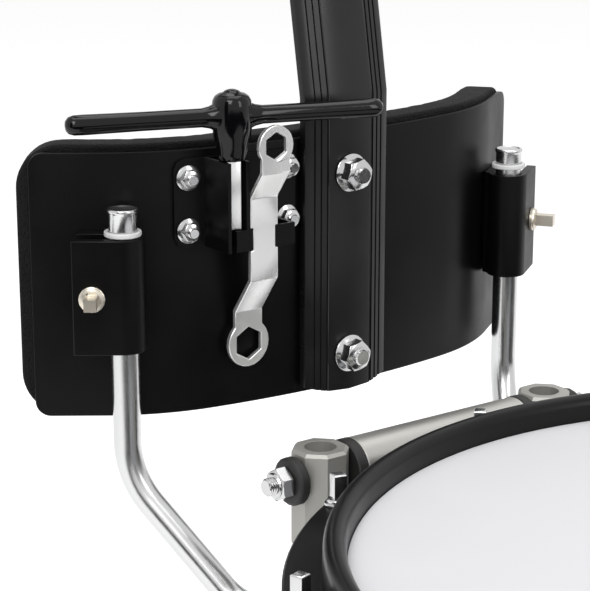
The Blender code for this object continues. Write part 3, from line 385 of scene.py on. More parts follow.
def outline_of(points):
    """A wire of straight edges through some points."""
    bm = bmesh.new()
    verts = [bm.verts.new(point) for point in points]
    for first, second in zip(verts, verts[1:]):
        bm.edges.new((first, second))
    return bm


def lathe(profile, steps, closed=False):
    """Spin an outline of (radius, height) about Z."""
    points = [(radius, 0.0, height) for radius, height in profile]
    if closed:
        points.append(points[0])
    bm = outline_of(points)
    bmesh.ops.spin(bm, geom=bm.verts[:] + bm.edges[:], cent=(0, 0, 0), axis=(0, 0, 1),
                   angle=math.tau, steps=steps, use_merge=True)
    bmesh.ops.remove_doubles(bm, verts=bm.verts, dist=0.001)
    return bm


def moved_to(bm, matrix):
    bmesh.ops.transform(bm, matrix=matrix, verts=bm.verts)
    return bm


ALONG_X = Matrix.Rotation(math.radians(90.0), 4, "Y")
ALONG_Y = Matrix.Rotation(math.radians(90.0), 4, "X")
print("mesh helpers are ready")


# %% [markdown]
# Folded, cast and forged pieces already have the right outline as solids. The real ones have
# edges broken by tumbling or a thick coat, and those edges are what catches the light. So a copy
# of the solid is merged, its flat faces are joined again, and its sharp edges get a small bevel.
# The pads and cushions are not simulated as cloth: cut foam of a few centimetres keeps its
# shape, so blanks that are bent, crowned and pressed in by code are closer to the real ones.

# %% Refine a solid with broken edges
def refined(node, look, body, width_mm, name=None, segments=2, angle=28.0):
    bm = bmesh.new()
    bm.from_mesh(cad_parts[node].data)
    bmesh.ops.remove_doubles(bm, verts=bm.verts, dist=0.000005)
    bmesh.ops.dissolve_limit(bm, angle_limit=math.radians(1.0), verts=bm.verts, edges=bm.edges)
    mesh = bpy.data.meshes.new(name or f"{node}_piece")
    bm.to_mesh(mesh)
    bm.free()
    mesh.shade_smooth()
    mesh.set_sharp_from_angle(angle=math.radians(angle))
    mesh.materials.append(look)
    piece = bpy.data.objects.new(mesh.name, mesh)
    scene.collection.objects.link(piece)
    bevel = piece.modifiers.new("broken_edges", "BEVEL")
    bevel.limit_method = "ANGLE"
    bevel.angle_limit = math.radians(angle)
    bevel.width = width_mm * MM
    bevel.segments = segments
    bevel.harden_normals = False
    bevel.miter_outer = "MITER_ARC"
    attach(piece, body)
    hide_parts(node)
    return piece


refined("rod_clamp_left", satin_black, "carrier", 0.45)
refined("rod_clamp_right", satin_black, "carrier", 0.45)
refined("clamp_screw_left", warm_nickel, "screw_left", 0.3)
refined("clamp_screw_right", warm_nickel, "screw_right", 0.3)
refined("key_holder", satin_black, "carrier", 0.3)
refined("wrench", brushed_steel, "wrench_body", 0.35)
refined("receiver_post_left", cast_aluminium, "drum", 0.4)
refined("receiver_post_right", cast_aluminium, "drum", 0.4)
refined("mount_bracket", hoop_black, "drum", 1.0)
refined("strainer_body", hoop_black, "drum", 0.8)
refined("strainer_lever", bright_chrome, "lever", 0.5)
refined("butt_plate", hoop_black, "drum", 0.8)
refined("harness_frame", satin_black, "carrier", 0.8)
refined("rod_collar_left", milky_nylon, "carrier", 0.15)
refined("rod_collar_right", milky_nylon, "carrier", 0.15)
refined("rubber_washer_left", matt_rubber, "drum", 0.5)
refined("rubber_washer_right", matt_rubber, "drum", 0.5)

# %% [markdown]
# ## Hoops, heads and shell
#
# The hoop is one casting: a rounded rim that the sticks may hit, a wall down to a flange, and a
# skirt over the ring of the head. Spinning one outline in 144 steps gives a silhouette with no
# corners, and the same outline upside down is the bottom hoop.

# %% Spin the hoops
ROUND = 144
film_depth = -(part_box("batter_head")[1].z - rim_centre.z) / MM
HOOP_OUTLINE = [
    (180.6, -12.0), (180.6, -4.2), (180.9, -2.9), (181.8, -1.6), (183.1, -0.6), (184.8, -0.05), (186.4, -0.15),
    (187.7, -0.75), (188.7, -1.8), (189.3, -3.1), (189.5, -4.6), (189.8, -16.4), (190.4, -17.0), (203.6, -17.0),
    (204.4, -17.7), (204.4, -20.8), (203.6, -21.5), (193.2, -21.5), (192.5, -22.2), (192.4, -26.5),
    (191.9, -27.0), (188.3, -27.0), (187.8, -26.5), (187.8, -12.0),
]
floor_z = -rim_height
place_piece("top_hoop_piece", lathe(HOOP_OUTLINE, ROUND, closed=True), hoop_black, "drum",
            ["top_hoop"])
upside_down = [(radius, floor_z - height) for radius, height in HOOP_OUTLINE]
place_piece("bottom_hoop_piece", lathe(upside_down, ROUND, closed=True), hoop_black, "drum",
            ["bottom_hoop"])
print("hoops in", ROUND, "steps, head", round(film_depth, 1), "mm below the rim")

# %% Spin the heads and the shell
HEAD_OUTLINE = [
    (0.0, -10.9), (174.0, -10.9), (178.2, -10.9), (180.2, -11.1), (180.3, -12.3), (187.3, -12.3),
    (187.3, -22.0), (178.3, -22.0), (178.3, -12.0), (0.0, -11.9),
]
place_piece("batter_head_piece", lathe(HEAD_OUTLINE, ROUND), drum_film, "drum", ["batter_head"])
upside_down = [(radius, floor_z - height) for radius, height in HEAD_OUTLINE]
place_piece("snare_head_piece", lathe(upside_down, ROUND), drum_film, "drum", ["snare_head"])
shell_top = (shell_high.z - rim_centre.z) / MM
shell_bottom = (shell_low.z - rim_centre.z) / MM
SHELL_OUTLINE = [
    (shell_radius - 7.0, shell_bottom + 2.5), (shell_radius - 2.5, shell_bottom),
    (shell_radius, shell_bottom + 1.0), (shell_radius, shell_top - 1.0),
    (shell_radius - 2.5, shell_top), (shell_radius - 7.0, shell_top - 2.5),
]
place_piece("shell_piece", lathe(SHELL_OUTLINE, ROUND, closed=True), grey_lacquer, "drum",
            ["drum_shell"])
print("shell from", round(shell_bottom, 1), "to", round(shell_top, 1), "mm")

# %% [markdown]
# ## Lugs and tension rods
#
# Twelve long rods pull each hoop towards a row of free-standing lugs. Every top rod is a body of
# its own that turns, so each of them is one piece. The bottom rods have no solid of their own,
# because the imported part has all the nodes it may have, and they ride on the drum.

# %% Turn the tension rods
LUG_CIRCLE = 198.7
ROD_LOOK = [(0.0, -100.0), (2.6, -99.4), (2.9, -98.6), (2.9, -16.9), (5.4, -16.9), (5.6, -16.7), (5.6, -15.9),
            (5.3, -15.6), (4.6, -15.6), (4.6, -14.6), (4.2, -14.1), (0.0, -14.0)]


def tension_rod():
    """A rod with its washer, flange and square head, on the Z axis."""
    rod = lathe(ROD_LOOK, 24)
    head = bmesh.new()
    bmesh.ops.create_cube(head, size=1.0)
    bmesh.ops.scale(head, vec=(5.5, 5.5, 11.4), verts=head.verts)
    bmesh.ops.translate(head, vec=(0, 0, -14.3 + 5.0), verts=head.verts)
    top = [edge for edge in head.edges if all(vert.co.z > -6.0 for vert in edge.verts)]
    bmesh.ops.bevel(head, geom=top, offset=0.9, offset_type="OFFSET", segments=3, profile=0.5,
                    affect="EDGES", material=-1)
    sides = [edge for edge in head.edges if abs(edge.verts[0].co.z - edge.verts[1].co.z) > 5.0]
    bmesh.ops.bevel(head, geom=sides, offset=0.35, offset_type="OFFSET", segments=2, profile=0.5,
                    affect="EDGES", material=-1)
    return join_into(rod, head)


for number in range(12):
    angle = math.radians(30.0 * number)
    across = Matrix.Translation((LUG_CIRCLE * math.cos(angle), LUG_CIRCLE * math.sin(angle), 0.0))
    turned = across @ Matrix.Rotation(angle + math.radians(45.0), 4, "Z")
    name = f"tension_rod_{number + 1:02d}"
    place_piece(f"{name}_piece", moved_to(tension_rod(), turned), rod_chrome, f"{name}_body", [name])
    under = Matrix.Translation((0, 0, floor_z)) @ turned @ Matrix.Rotation(math.pi, 4, "X")
    place_piece(f"bottom_rod_{number + 1:02d}", moved_to(tension_rod(), under), rod_chrome, "drum")
print("24 tension rods")

# %% Give the lugs their broken edges
for number in range(12):
    refined(f"lug_{number + 1:02d}", hoop_black, "drum", 0.5)
print("12 lugs")

# %% [markdown]
# ## Cross tube
#
# A drawn aluminium tube with a black ring at each end, between the two posts. A long bolt goes
# through all of them.

# %% Spin the cross tube and its rings
tube_low, tube_high = local_box("stabiliser_tube")
tube_centre = Vector((0.0, (tube_low.y + tube_high.y) / 2, (tube_low.z + tube_high.z) / 2))
half_tube = 48.3
along_tube = Matrix.Translation(tube_centre) @ ALONG_X
tube_outline = [(4.4, -half_tube), (12.2, -half_tube), (12.7, -half_tube + 0.5), (12.7, half_tube - 0.5),
                (12.2, half_tube), (4.4, half_tube)]
place_piece("cross_tube", moved_to(lathe(tube_outline, 64, closed=True), along_tube), satin_aluminium, "drum",
            ["stabiliser_tube"])
for side, name in ((-1, "left"), (1, "right")):
    inner, outer = half_tube + 0.05, tube_high.x
    ring = [(4.4, side * inner), (12.6, side * inner), (12.9, side * (inner + 0.4)),
            (12.9, side * (outer - 0.6)), (12.3, side * outer), (4.4, side * outer)]
    place_piece(f"tube_ring_{name}", moved_to(lathe(ring, 64, closed=True), along_tube), matt_rubber, "drum")
print("tube centre", tuple(round(v, 1) for v in tube_centre))

# %% [markdown]
# ## Belly plate and pad
#
# The real plate is cut flat, its corners are rounded, and a roller bends it. The mesh is made
# the same way: a flat blank is extruded, cut across every few millimetres so that it can bend,
# and each vertex is carried round the same arcs as the solid. The foam is a thicker blank that
# is bent over the same line.

# %% Bend a flat blank round the belly line
PLATE_FRONT = 301.0
MIDDLE_RADIUS = 420.0
MIDDLE_HALF = 70.0
BEND_LENGTH = 50.0
BEND_ANGLE = math.radians(26.0)


def bent(along, behind):
    """Place of a point on the blank: its signed length along the plate and its depth behind the face."""
    reach = abs(along)
    first = min(reach, MIDDLE_HALF) / MIDDLE_RADIUS
    radius = BEND_LENGTH / BEND_ANGLE
    second = first + min(max(reach - MIDDLE_HALF, 0.0), BEND_LENGTH) / radius
    rest = max(reach - MIDDLE_HALF - BEND_LENGTH, 0.0)
    x = MIDDLE_RADIUS * math.sin(first) + radius * (math.sin(second) - math.sin(first))
    y = MIDDLE_RADIUS * (1 - math.cos(first)) + radius * (math.cos(first) - math.cos(second))
    x += rest * math.cos(second) - behind * math.sin(second)
    y += rest * math.sin(second) + behind * math.cos(second)
    return math.copysign(x, along), PLATE_FRONT + y


def blank(half, low, high, corner, front, thickness, front_edge, back_edge, step, rounds=8):
    """A rounded flat blank: X along it, Y its depth, Z up, with both rims rounded over."""
    bm = bmesh.new()
    corners = [bm.verts.new((x, front, z)) for x, z in ((-half, low), (half, low), (half, high), (-half, high))]
    bm.faces.new(corners)
    bmesh.ops.bevel(bm, geom=corners, offset=corner, offset_type="OFFSET", segments=rounds, profile=0.5,
                    affect="VERTICES", material=-1)
    grown = bmesh.ops.extrude_face_region(bm, geom=bm.faces[:])
    moved = [item for item in grown["geom"] if isinstance(item, bmesh.types.BMVert)]
    bmesh.ops.translate(bm, vec=(0, thickness, 0), verts=moved)
    for depth, width in ((front, front_edge), (front + thickness, back_edge)):
        rim = [edge for edge in bm.edges if all(abs(vert.co.y - depth) < 0.001 for vert in edge.verts)]
        bmesh.ops.bevel(bm, geom=rim, offset=width, offset_type="OFFSET", segments=5, profile=0.5,
                        affect="EDGES", clamp_overlap=True, material=-1)
    count = int(half / step)
    for k in range(-count, count + 1):
        bmesh.ops.bisect_plane(bm, geom=bm.verts[:] + bm.edges[:] + bm.faces[:], dist=0.0005,
                               plane_co=(k * step + 0.01, 0, 0), plane_no=(1, 0, 0))
    return bm


def bend_blank(bm):
    for vert in bm.verts:
        vert.co.x, vert.co.y = bent(vert.co.x, vert.co.y)
    return bm


plate_low, plate_high = local_box("belly_plate")
plate = blank(152.0, plate_low.z, plate_high.z, 7.0, 0.0, 3.0, 0.5, 0.5, 3.0)
place_piece("belly_plate_piece", bend_blank(plate), satin_black, "carrier",
            ["belly_plate"])
print("plate from", round(plate_low.z, 1), "to", round(plate_high.z, 1), "mm")

# %% Bend the foam pad
pad_low, pad_high = local_box("belly_pad")
pad = blank(158.0, pad_low.z, pad_high.z, 20.0, 3.2, 19.0, 1.6, 6.5, 3.0, rounds=12)
levels = int((pad_high.z - pad_low.z) / 3.0)
for k in range(1, levels):
    bmesh.ops.bisect_plane(pad, geom=pad.verts[:] + pad.edges[:] + pad.faces[:], dist=0.0005,
                           plane_co=(0, 0, pad_low.z + 3.0 * k), plane_no=(0, 0, 1))
for vert in pad.verts:
    if vert.co.y > 5.0:
        rough = noise.noise(vert.co * 0.16) * 0.8 + noise.noise(vert.co * 0.5) * 0.35
        vert.co += Vector((0.0, -abs(rough), rough * 0.4))
bend_blank(pad)
belly_pad = place_piece("belly_pad_piece", pad, open_foam, "carrier", ["belly_pad"], sharp=60.0)
print("pad faces", len(belly_pad.data.polygons))

# %% [markdown]
# ## Spine bar
#
# An aluminium extrusion with a flat middle and three fine grooves on each sloping side. Its
# section is drawn once and carried up to the kink, and on to the harness at a lean of ten
# degrees.

# %% Draw the section and carry it up
SPINE_LEAN = math.radians(10.0)
SPINE_KINK = 123.0
spine_low, spine_high = local_box("spine_bar")
spine_back = PLATE_FRONT - 0.3


def spine_half_section():
    """Right half of the section from the middle of the front to the back corner: (x, depth)."""
    points = [(0.0, -7.5), (11.4, -7.5), (12.0, -7.3)]
    for start in (12.6, 15.7, 18.8):
        lean = 3.2 / 11.5
        top = -7.5 + (start - 12.5) * lean
        points += [(start, top), (start + 0.25, top + 0.75), (start + 0.85, top + 0.9),
                   (start + 1.1, top + 0.35)]
    points += [(23.2, -4.6), (23.8, -4.2), (24.0, -3.6), (24.0, -0.5), (23.5, 0.0)]
    return points


half_section = spine_half_section()
section = half_section + [(-x, depth) for x, depth in half_section[:0:-1]]
spine = bmesh.new()
ring = [spine.verts.new((x, spine_back + depth, spine_low.z + 4.0 * (x / 24.0) ** 2)) for x, depth in section]
spine.faces.new(ring)
for height in (SPINE_KINK - 3.0, SPINE_KINK, SPINE_KINK + 3.0, spine_high.z - 0.1):
    top_face = max(spine.faces, key=lambda f: f.calc_center_median().z)
    grown = bmesh.ops.extrude_face_region(spine, geom=[top_face])
    moved = [item for item in grown["geom"] if isinstance(item, bmesh.types.BMVert)]
    if top_face.is_valid and len(spine.faces) > len(section) + 1:
        bmesh.ops.delete(spine, geom=[top_face], context="FACES_ONLY")
    for vert in moved:
        drop = 8.0 * (vert.co.x / 24.0) ** 2 if height > SPINE_KINK + 10.0 else 0.0
        old = max(vert.co.z - SPINE_KINK, 0.0)
        vert.co.z = height - drop
        vert.co.y += (max(vert.co.z - SPINE_KINK, 0.0) - old) * math.tan(SPINE_LEAN)
place_piece("spine_piece", spine, spine_black, "carrier", ["spine_bar"], sharp=22.0)
print("spine from", round(spine_low.z, 1), "to", round(spine_high.z, 1), "mm")

# %% [markdown]
# ## Hooked rods
#
# Each rod is a chromed steel bar. It goes down through its clamp, bends towards the post, and
# turns up again into the post from below. A circle is pulled down the straights and spun round
# the two bends, as the bender does.

# %% Pull and spin the rods
ROD_RADIUS = 6.35
ROD_PLACE = Vector((114.0, 309.8, 0.0))
POST_PLACE = Vector((66.0, 228.3, 0.0))
ROD_CAP = 82.5
CAP_LENGTH = 9.0
BEND_START = -26.0
FIRST_RADIUS = 40.0
SECOND_RADIUS = 28.0
ROD_TIP = -32.3


def pull(bm, ring_edges, shift):
    grown = bmesh.ops.extrude_edge_only(bm, edges=ring_edges)
    verts = [item for item in grown["geom"] if isinstance(item, bmesh.types.BMVert)]
    bmesh.ops.translate(bm, vec=shift, verts=verts)
    return [item for item in grown["geom"] if isinstance(item, bmesh.types.BMEdge)
            and all(vert in verts for vert in item.verts)]


def swing(bm, ring_edges, centre, axis, angle, steps):
    verts = list({vert for edge in ring_edges for vert in edge.verts})
    grown = bmesh.ops.spin(bm, geom=verts + ring_edges, cent=centre, axis=axis, angle=angle, steps=steps)
    return [item for item in grown["geom_last"] if isinstance(item, bmesh.types.BMEdge)]


def ring_at(bm, centre, radius, steps=48):
    made = bmesh.ops.create_circle(bm, cap_ends=False, radius=radius, segments=steps,
                                   matrix=Matrix.Translation(centre))
    return list({edge for vert in made["verts"] for edge in vert.link_edges})


def shrink(bm, ring_edges, centre, factor):
    verts = list({vert for edge in ring_edges for vert in edge.verts})
    for vert in verts:
        vert.co = centre + (vert.co - centre) * factor


def hooked_rod(side):
    toward = Vector((-side * (ROD_PLACE.x - POST_PLACE.x), POST_PLACE.y - ROD_PLACE.y, 0.0))
    span = toward.length
    toward.normalize()
    axis = toward.cross(Vector((0, 0, -1)))
    start = Vector((side * ROD_PLACE.x, ROD_PLACE.y, 0.0))
    bm = bmesh.new()
    ring = ring_at(bm, start + Vector((0, 0, ROD_CAP - CAP_LENGTH)), ROD_RADIUS)
    ring = pull(bm, ring, (0, 0, BEND_START - (ROD_CAP - CAP_LENGTH)))
    bend = math.radians(45.0)
    run = FIRST_RADIUS * (1 - math.cos(bend)) + SECOND_RADIUS * (1 + math.cos(bend))
    straight = (span - run) / math.sin(bend)
    centre = start + toward * FIRST_RADIUS + Vector((0, 0, BEND_START))
    ring = swing(bm, ring, centre, -axis, bend, 12)
    slope = toward * math.sin(bend) - Vector((0, 0, math.cos(bend)))
    ring = pull(bm, ring, slope * straight)
    low = start + toward * (FIRST_RADIUS * (1 - math.cos(bend)) + straight * math.sin(bend))
    low += Vector((0, 0, BEND_START - FIRST_RADIUS * math.sin(bend) - straight * math.cos(bend)))
    centre = low + (toward * math.cos(bend) + Vector((0, 0, math.sin(bend)))) * SECOND_RADIUS
    ring = swing(bm, ring, centre, -axis, math.pi - bend, 30)
    now = sum((vert.co for edge in ring for vert in edge.verts), Vector()) / (2 * len(ring))
    ring = pull(bm, ring, (0, 0, ROD_TIP - 0.9 - now.z))
    ring = pull(bm, ring, (0, 0, 0.9))
    tip = Vector((now.x, now.y, ROD_TIP))
    shrink(bm, ring, tip, 0.86)
    bmesh.ops.contextual_create(bm, geom=ring)
    cap = lathe([(0.0, -0.9), (4.6, -0.75), (5.4, -0.4), (5.9, -0.1), (6.4, -0.15), (6.75, -0.45), (6.9, -1.0),
                 (6.8, -1.6), (6.55, -2.1), (6.4, -2.5), (6.36, -CAP_LENGTH - 0.1),
                 (0.0, -CAP_LENGTH - 0.2)], 48)
    return join_into(bm, moved_to(cap, Matrix.Translation(start + Vector((0, 0, ROD_CAP)))))


for side, name in ((-1, "left"), (1, "right")):
    place_piece(f"hooked_rod_{name}_piece", hooked_rod(side), rod_chrome, f"rod_{name}",
                [f"hooked_rod_{name}"], sharp=40.0)
print("two hooked rods, straight length below the bend is worked out from the posts")

# %% [markdown]
# ## Tuning key
#
# The drummer's key is a steel T dipped in black vinyl, so its corners are soft and its surface
# has a wet gloss. Only the square shank is bare. The hub and the bar are spun from short
# outlines and overlap, as the dip has no seam to show.

# %% Spin the hub, the bar and the shank
key_low, key_high = local_box("tuning_key")
KEY_PLACE = Vector((-67.65, 291.5, 0.0))
BAR_HEIGHT = 121.0
BAR_TURN = math.radians(-17.9)
BAR_LEFT = -75.0
BAR_RIGHT = 71.0
SHANK_SIDE = 6.2
SHANK_TOP = 103.0
hub_outline = [(0.0, 101.3), (5.6, 101.35), (6.3, 101.9), (6.6, 104.0), (7.2, 108.0), (8.3, 112.0), (8.8, 115.5),
               (8.9, 125.5), (8.6, 128.2), (7.6, 130.0), (6.0, 131.1), (3.9, 131.7), (3.2, 132.4), (1.6, 133.0),
               (0.0, 133.1)]
bar_outline = [(0.0, BAR_LEFT), (2.2, BAR_LEFT + 0.4), (3.7, BAR_LEFT + 1.7), (4.4, BAR_LEFT + 3.9),
               (4.5, BAR_LEFT + 8.0), (4.2, -40.0), (4.2, -14.0), (4.9, -10.5), (6.2, -7.6), (6.4, 0.0),
               (6.2, 7.6), (4.9, 10.5), (4.2, 14.0), (4.1, 40.0), (4.3, BAR_RIGHT - 8.0),
               (4.3, BAR_RIGHT - 3.9), (3.6, BAR_RIGHT - 1.7), (2.1, BAR_RIGHT - 0.4), (0.0, BAR_RIGHT)]
key = lathe(hub_outline, 40)
bar_way = Matrix.Translation((0, 0, BAR_HEIGHT)) @ Matrix.Rotation(BAR_TURN, 4, "Z") @ ALONG_X
join_into(key, moved_to(lathe(bar_outline, 32), bar_way))
place_piece("tuning_key_piece", moved_to(key, Matrix.Translation(KEY_PLACE)), gloss_vinyl, "key",
            ["tuning_key"], sharp=50.0)
shank = bmesh.new()
bmesh.ops.create_cube(shank, size=1.0)
bmesh.ops.scale(shank, vec=(SHANK_SIDE, SHANK_SIDE, SHANK_TOP - key_low.z), verts=shank.verts)
bmesh.ops.bevel(shank, geom=shank.edges[:], offset=0.3, offset_type="OFFSET", segments=2, profile=0.5,
                affect="EDGES", material=-1)
bmesh.ops.rotate(shank, matrix=Matrix.Rotation(BAR_TURN, 3, "Z"), verts=shank.verts)
bmesh.ops.translate(shank, vec=KEY_PLACE + Vector((0, 0, (SHANK_TOP + key_low.z) / 2)), verts=shank.verts)
place_piece("key_shank", shank, brushed_steel, "key")
print("key from", round(key_low.z, 1), "to", round(key_high.z, 1), "mm")

# %% [markdown]
# ## Nuts
#
# Four small flanged nuts hold the key holder to the plate, two large ones hold the spine bar, and
# a lock nut closes each end of the long bolt. A real nut is a hexagon whose corners are turned off
# by a cone. So a disc with that cone is spun, and every point past a flat is pushed back onto it.
# Rings with a V between them stand for the thread, which a step away can't be told from a helix.

# %% Cut a hexagon from a spun cone
def chamfered_hex(flats, low, high, both=False):
    """A hexagon nut on the Z axis, with a cone at its high end, or at both."""
    apothem = flats / 2
    corner = apothem / math.cos(math.radians(30.0))
    start = apothem * 0.94
    cone = [start + (corner - start) * k / 6 for k in range(7)]
    slope = math.tan(math.radians(30.0))
    profile = [(0.0, high)] + [(radius, high - (radius - start) * slope) for radius in cone]
    if both:
        profile += [(radius, low + (radius - start) * slope) for radius in reversed(cone)]
    else:
        profile.append((corner, low))
    nut = lathe(profile + [(0.0, low)], 72)
    for vert in nut.verts:
        reach = math.hypot(vert.co.x, vert.co.y)
        off_middle = math.atan2(vert.co.y, vert.co.x) % math.radians(60.0) - math.radians(30.0)
        limit = apothem / math.cos(off_middle)
        if reach > limit:
            vert.co.x *= limit / reach
            vert.co.y *= limit / reach
    return nut


def threaded_end(radius, low, high, pitch):
    """The end of a screw from low to high, with its tip chamfered."""
    depth = 0.5 * pitch
    profile = [(0.0, low)]
    turns = int((high - low - depth) / pitch)
    for k in range(turns):
        start = low + k * pitch
        profile += [(radius - depth, start), (radius, start + 0.45 * pitch), (radius, start + 0.6 * pitch)]
    last = low + turns * pitch
    profile += [(radius - depth, last), (radius - 0.2, last + 0.2), (radius - depth, high), (0.0, high)]
    return lathe(profile, 32)


print("nut helpers are ready")

# %% Make the four small nuts
NUTS = ((-81.0, 92.2), (-81.0, 67.9), (-31.4, 92.9), (-31.4, 68.9))


def small_nut():
    """Along Z, standing on the plane z = 0."""
    nut = lathe([(0.0, 0.0), (5.7, 0.0), (5.9, 0.3), (5.8, 0.8), (4.4, 1.6), (0.0, 1.7)], 40)
    join_into(nut, chamfered_hex(8.0, 1.0, 4.8))
    return join_into(nut, threaded_end(2.45, 4.0, 7.1, 0.8))


def angle_at(x):
    return math.asin(min(abs(x) / MIDDLE_RADIUS, 1.0))


for number, (x, height) in enumerate(NUTS, 1):
    sheet_front = 0.3 + 1.8 + 0.02
    place_x, place_y = bent(x, -sheet_front)
    lean = Matrix.Rotation(-angle_at(x), 4, "Z")
    way = Matrix.Translation((place_x, place_y, height)) @ lean @ ALONG_Y
    place_piece(f"holder_nut_{number}", moved_to(small_nut(), way), zinc, "carrier")
print("four nuts")

# %% Make the two spine bolts
BOLT_REACH = 10.7


def flange_nut(back):
    """A large flange nut on its stud, along Z, standing on z = 0 with the stud going back from there."""
    bolt = lathe([(0.0, -back), (4.0, -back), (4.0, 0.0), (8.6, 0.0), (8.9, 0.3), (8.9, 0.9), (8.5, 1.3),
                  (7.3, 2.0), (6.7, 2.5), (0.0, 2.5)], 48)
    join_into(bolt, chamfered_hex(13.0, 2.0, 7.9))
    return join_into(bolt, threaded_end(4.0, 7.0, BOLT_REACH, 1.25))


for name in ("spine_bolt_upper", "spine_bolt_lower"):
    bolt_low, bolt_high = local_box(name)
    face = bolt_low.y + BOLT_REACH
    middle = Vector(((bolt_low.x + bolt_high.x) / 2, face, (bolt_low.z + bolt_high.z) / 2))
    way = Matrix.Translation(middle) @ ALONG_Y @ Matrix.Rotation(math.radians(12.0), 4, "Z")
    place_piece(f"{name}_piece", moved_to(flange_nut(bolt_high.y - face), way), zinc, "carrier",
                [name])
print("two spine bolts")

# %% Close the long bolt with two lock nuts
NUT_SEAT = 11.0
NUT_END = 4.9


def lock_nut_end(reach):
    """A lock nut with its rounded ring, and the thread that comes through it, up to a reach along Z."""
    low, high = reach - NUT_SEAT, reach - NUT_END
    end = chamfered_hex(13.0, low, high, both=True)
    join_into(end, lathe([(0.0, high - 1.0), (5.7, high - 1.0), (5.7, high + 0.4), (5.2, high + 1.1),
                          (4.4, high + 1.3), (0.0, high + 1.3)], 40))
    return join_into(end, threaded_end(4.0, high + 0.5, reach, 1.25))


post_bolt_low, post_bolt_high = local_box("through_bolt")
bolt_reach = post_bolt_high.x
inside = bolt_reach - NUT_SEAT + 1.0
post_bolt = lathe([(0.0, -inside), (4.0, -inside), (4.0, inside), (0.0, inside)], 32)
for turn in (0.0, math.pi):
    join_into(post_bolt, moved_to(lock_nut_end(bolt_reach), Matrix.Rotation(turn, 4, "X")))
place_piece("through_bolt_piece", moved_to(post_bolt, along_tube), zinc, "drum", ["through_bolt"])
print("long bolt reaches", round(bolt_reach, 1), "mm each way")

# %% [markdown]
# ## Shoulder pads
#
# Each shoulder bar carries a strip of covered foam, sewn across into cushions. The pads follow
# the same arc as the bar. The strip starts as a flat blank with a channel pressed in every few
# centimetres, and is then carried round the arc.

# %% Bend the shoulder pads
bar_low, bar_high = local_box("shoulder_pad_left")
SHOULDER_RADIUS = 98.0
SHOULDER_X = 88.0
SHOULDER_CENTRE = Vector((0.0, 352.0 + 98.0 * math.cos(SPINE_LEAN), 374.78 - 98.0 * math.sin(SPINE_LEAN)))
PAD_START = math.radians(20.0)
PAD_END = math.radians(153.0)


def shoulder_pad(side):
    length = SHOULDER_RADIUS * (PAD_END - PAD_START)
    bm = bmesh.new()
    bmesh.ops.create_cube(bm, size=1.0)
    bmesh.ops.scale(bm, vec=(58.0, 14.0, length), verts=bm.verts)
    bmesh.ops.translate(bm, vec=(0, 7.0, length / 2), verts=bm.verts)
    inner = [edge for edge in bm.edges if all(vert.co.y > 13.0 for vert in edge.verts)]
    bmesh.ops.bevel(bm, geom=inner, offset=6.0, offset_type="OFFSET", segments=6, profile=0.5, affect="EDGES",
                    material=-1)
    for k in range(1, 72):
        bmesh.ops.bisect_plane(bm, geom=bm.verts[:] + bm.edges[:] + bm.faces[:], dist=0.001,
                               plane_co=(0, 0, length * k / 72), plane_no=(0, 0, 1))
    for k in range(-4, 5):
        bmesh.ops.bisect_plane(bm, geom=bm.verts[:] + bm.edges[:] + bm.faces[:], dist=0.001,
                               plane_co=(6.5 * k, 0, 0), plane_no=(1, 0, 0))
    for vert in bm.verts:
        depth = vert.co.y / 14.0
        channel = abs(math.sin(math.pi * 6 * vert.co.z / length)) ** 0.45
        crown = 1.0 - 0.16 * (vert.co.x / 29.0) ** 2
        vert.co.y *= (0.80 + 0.20 * channel) * crown
        vert.co.x *= 1.0 - 0.05 * depth * (1.0 - channel)
        angle = PAD_START + vert.co.z / SHOULDER_RADIUS
        reach = SHOULDER_RADIUS - 2.9 - vert.co.y
        vert.co = Vector((side * SHOULDER_X + vert.co.x, SHOULDER_CENTRE.y - reach * math.cos(angle),
                          SHOULDER_CENTRE.z + reach * math.sin(angle)))
    return bm


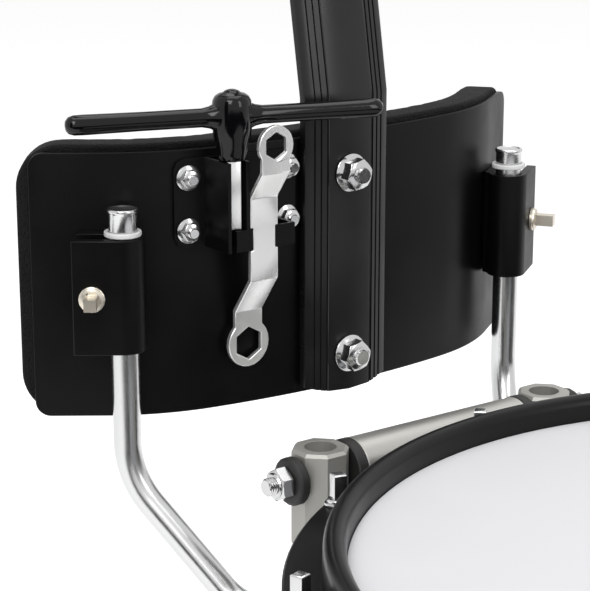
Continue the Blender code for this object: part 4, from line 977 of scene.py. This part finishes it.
for side, name in ((-1, "left"), (1, "right")):
    pad_piece = place_piece(f"shoulder_pad_{name}_piece", shoulder_pad(side), open_foam, "carrier",
                            [f"shoulder_pad_{name}"], sharp=70.0)
print("two shoulder pads, box of the solid", tuple(round(v, 1) for v in bar_low))

# %% [markdown]
# ## Snares and strainer knob
#
# Twenty coiled wires run across the bottom head. Each is a long thin spring, so from a step away
# it reads as a ribbed wire. A strap at each end goes through a gate in the hoop.

# %% Lay the snare wires
snare_low, snare_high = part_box("snare_wires")
BUTT_TURN = math.radians(15.0)
snare_middle = ((snare_low.z + snare_high.z) / 2 - rim_centre.z) / MM
wires = bmesh.new()
for k in range(20):
    across = -21.0 + 42.0 * k / 19
    wire = bmesh.new()
    bmesh.ops.create_cone(wire, cap_ends=True, segments=8, radius1=0.75, radius2=0.75, depth=318.0,
                          matrix=Matrix.Translation((0.0, across, snare_middle)) @ ALONG_X)
    join_into(wires, wire)
for side in (-1, 1):
    for low, high, half in ((158.0, 165.0, 23.0), (165.0, 205.0, 9.0)):
        plate_bm = bmesh.new()
        bmesh.ops.create_cube(plate_bm, size=1.0)
        bmesh.ops.scale(plate_bm, vec=(high - low, 2 * half, 1.4), verts=plate_bm.verts)
        bmesh.ops.translate(plate_bm, vec=(side * (low + high) / 2, 0, snare_middle), verts=plate_bm.verts)
        bmesh.ops.bevel(plate_bm, geom=plate_bm.edges[:], offset=0.25, offset_type="OFFSET", segments=2,
                        profile=0.5, affect="EDGES", material=-1)
        join_into(wires, plate_bm)
moved_to(wires, Matrix.Rotation(BUTT_TURN, 4, "Z"))
place_piece("snare_piece", wires, bright_chrome, "drum", ["snare_wires"], sharp=40.0)
print("20 snare wires")

# %% Spin the strainer knob
knob_low, knob_high = local_box("strainer_knob")
knob_place = Vector(((knob_low.x + knob_high.x) / 2, (knob_low.y + knob_high.y) / 2, knob_low.z + 12.0))
knob = lathe([(0.0, -12.0), (2.4, -12.0), (2.4, 0.3), (6.0, 0.35), (6.6, 0.9), (6.8, 1.8), (6.8, 8.4),
              (6.4, 9.6), (5.4, 10.4), (0.0, 10.5)], 48)
place_piece("strainer_knob_piece", moved_to(knob, Matrix.Translation(knob_place)), bright_chrome, "knob",
            ["strainer_knob"])
print("knob")
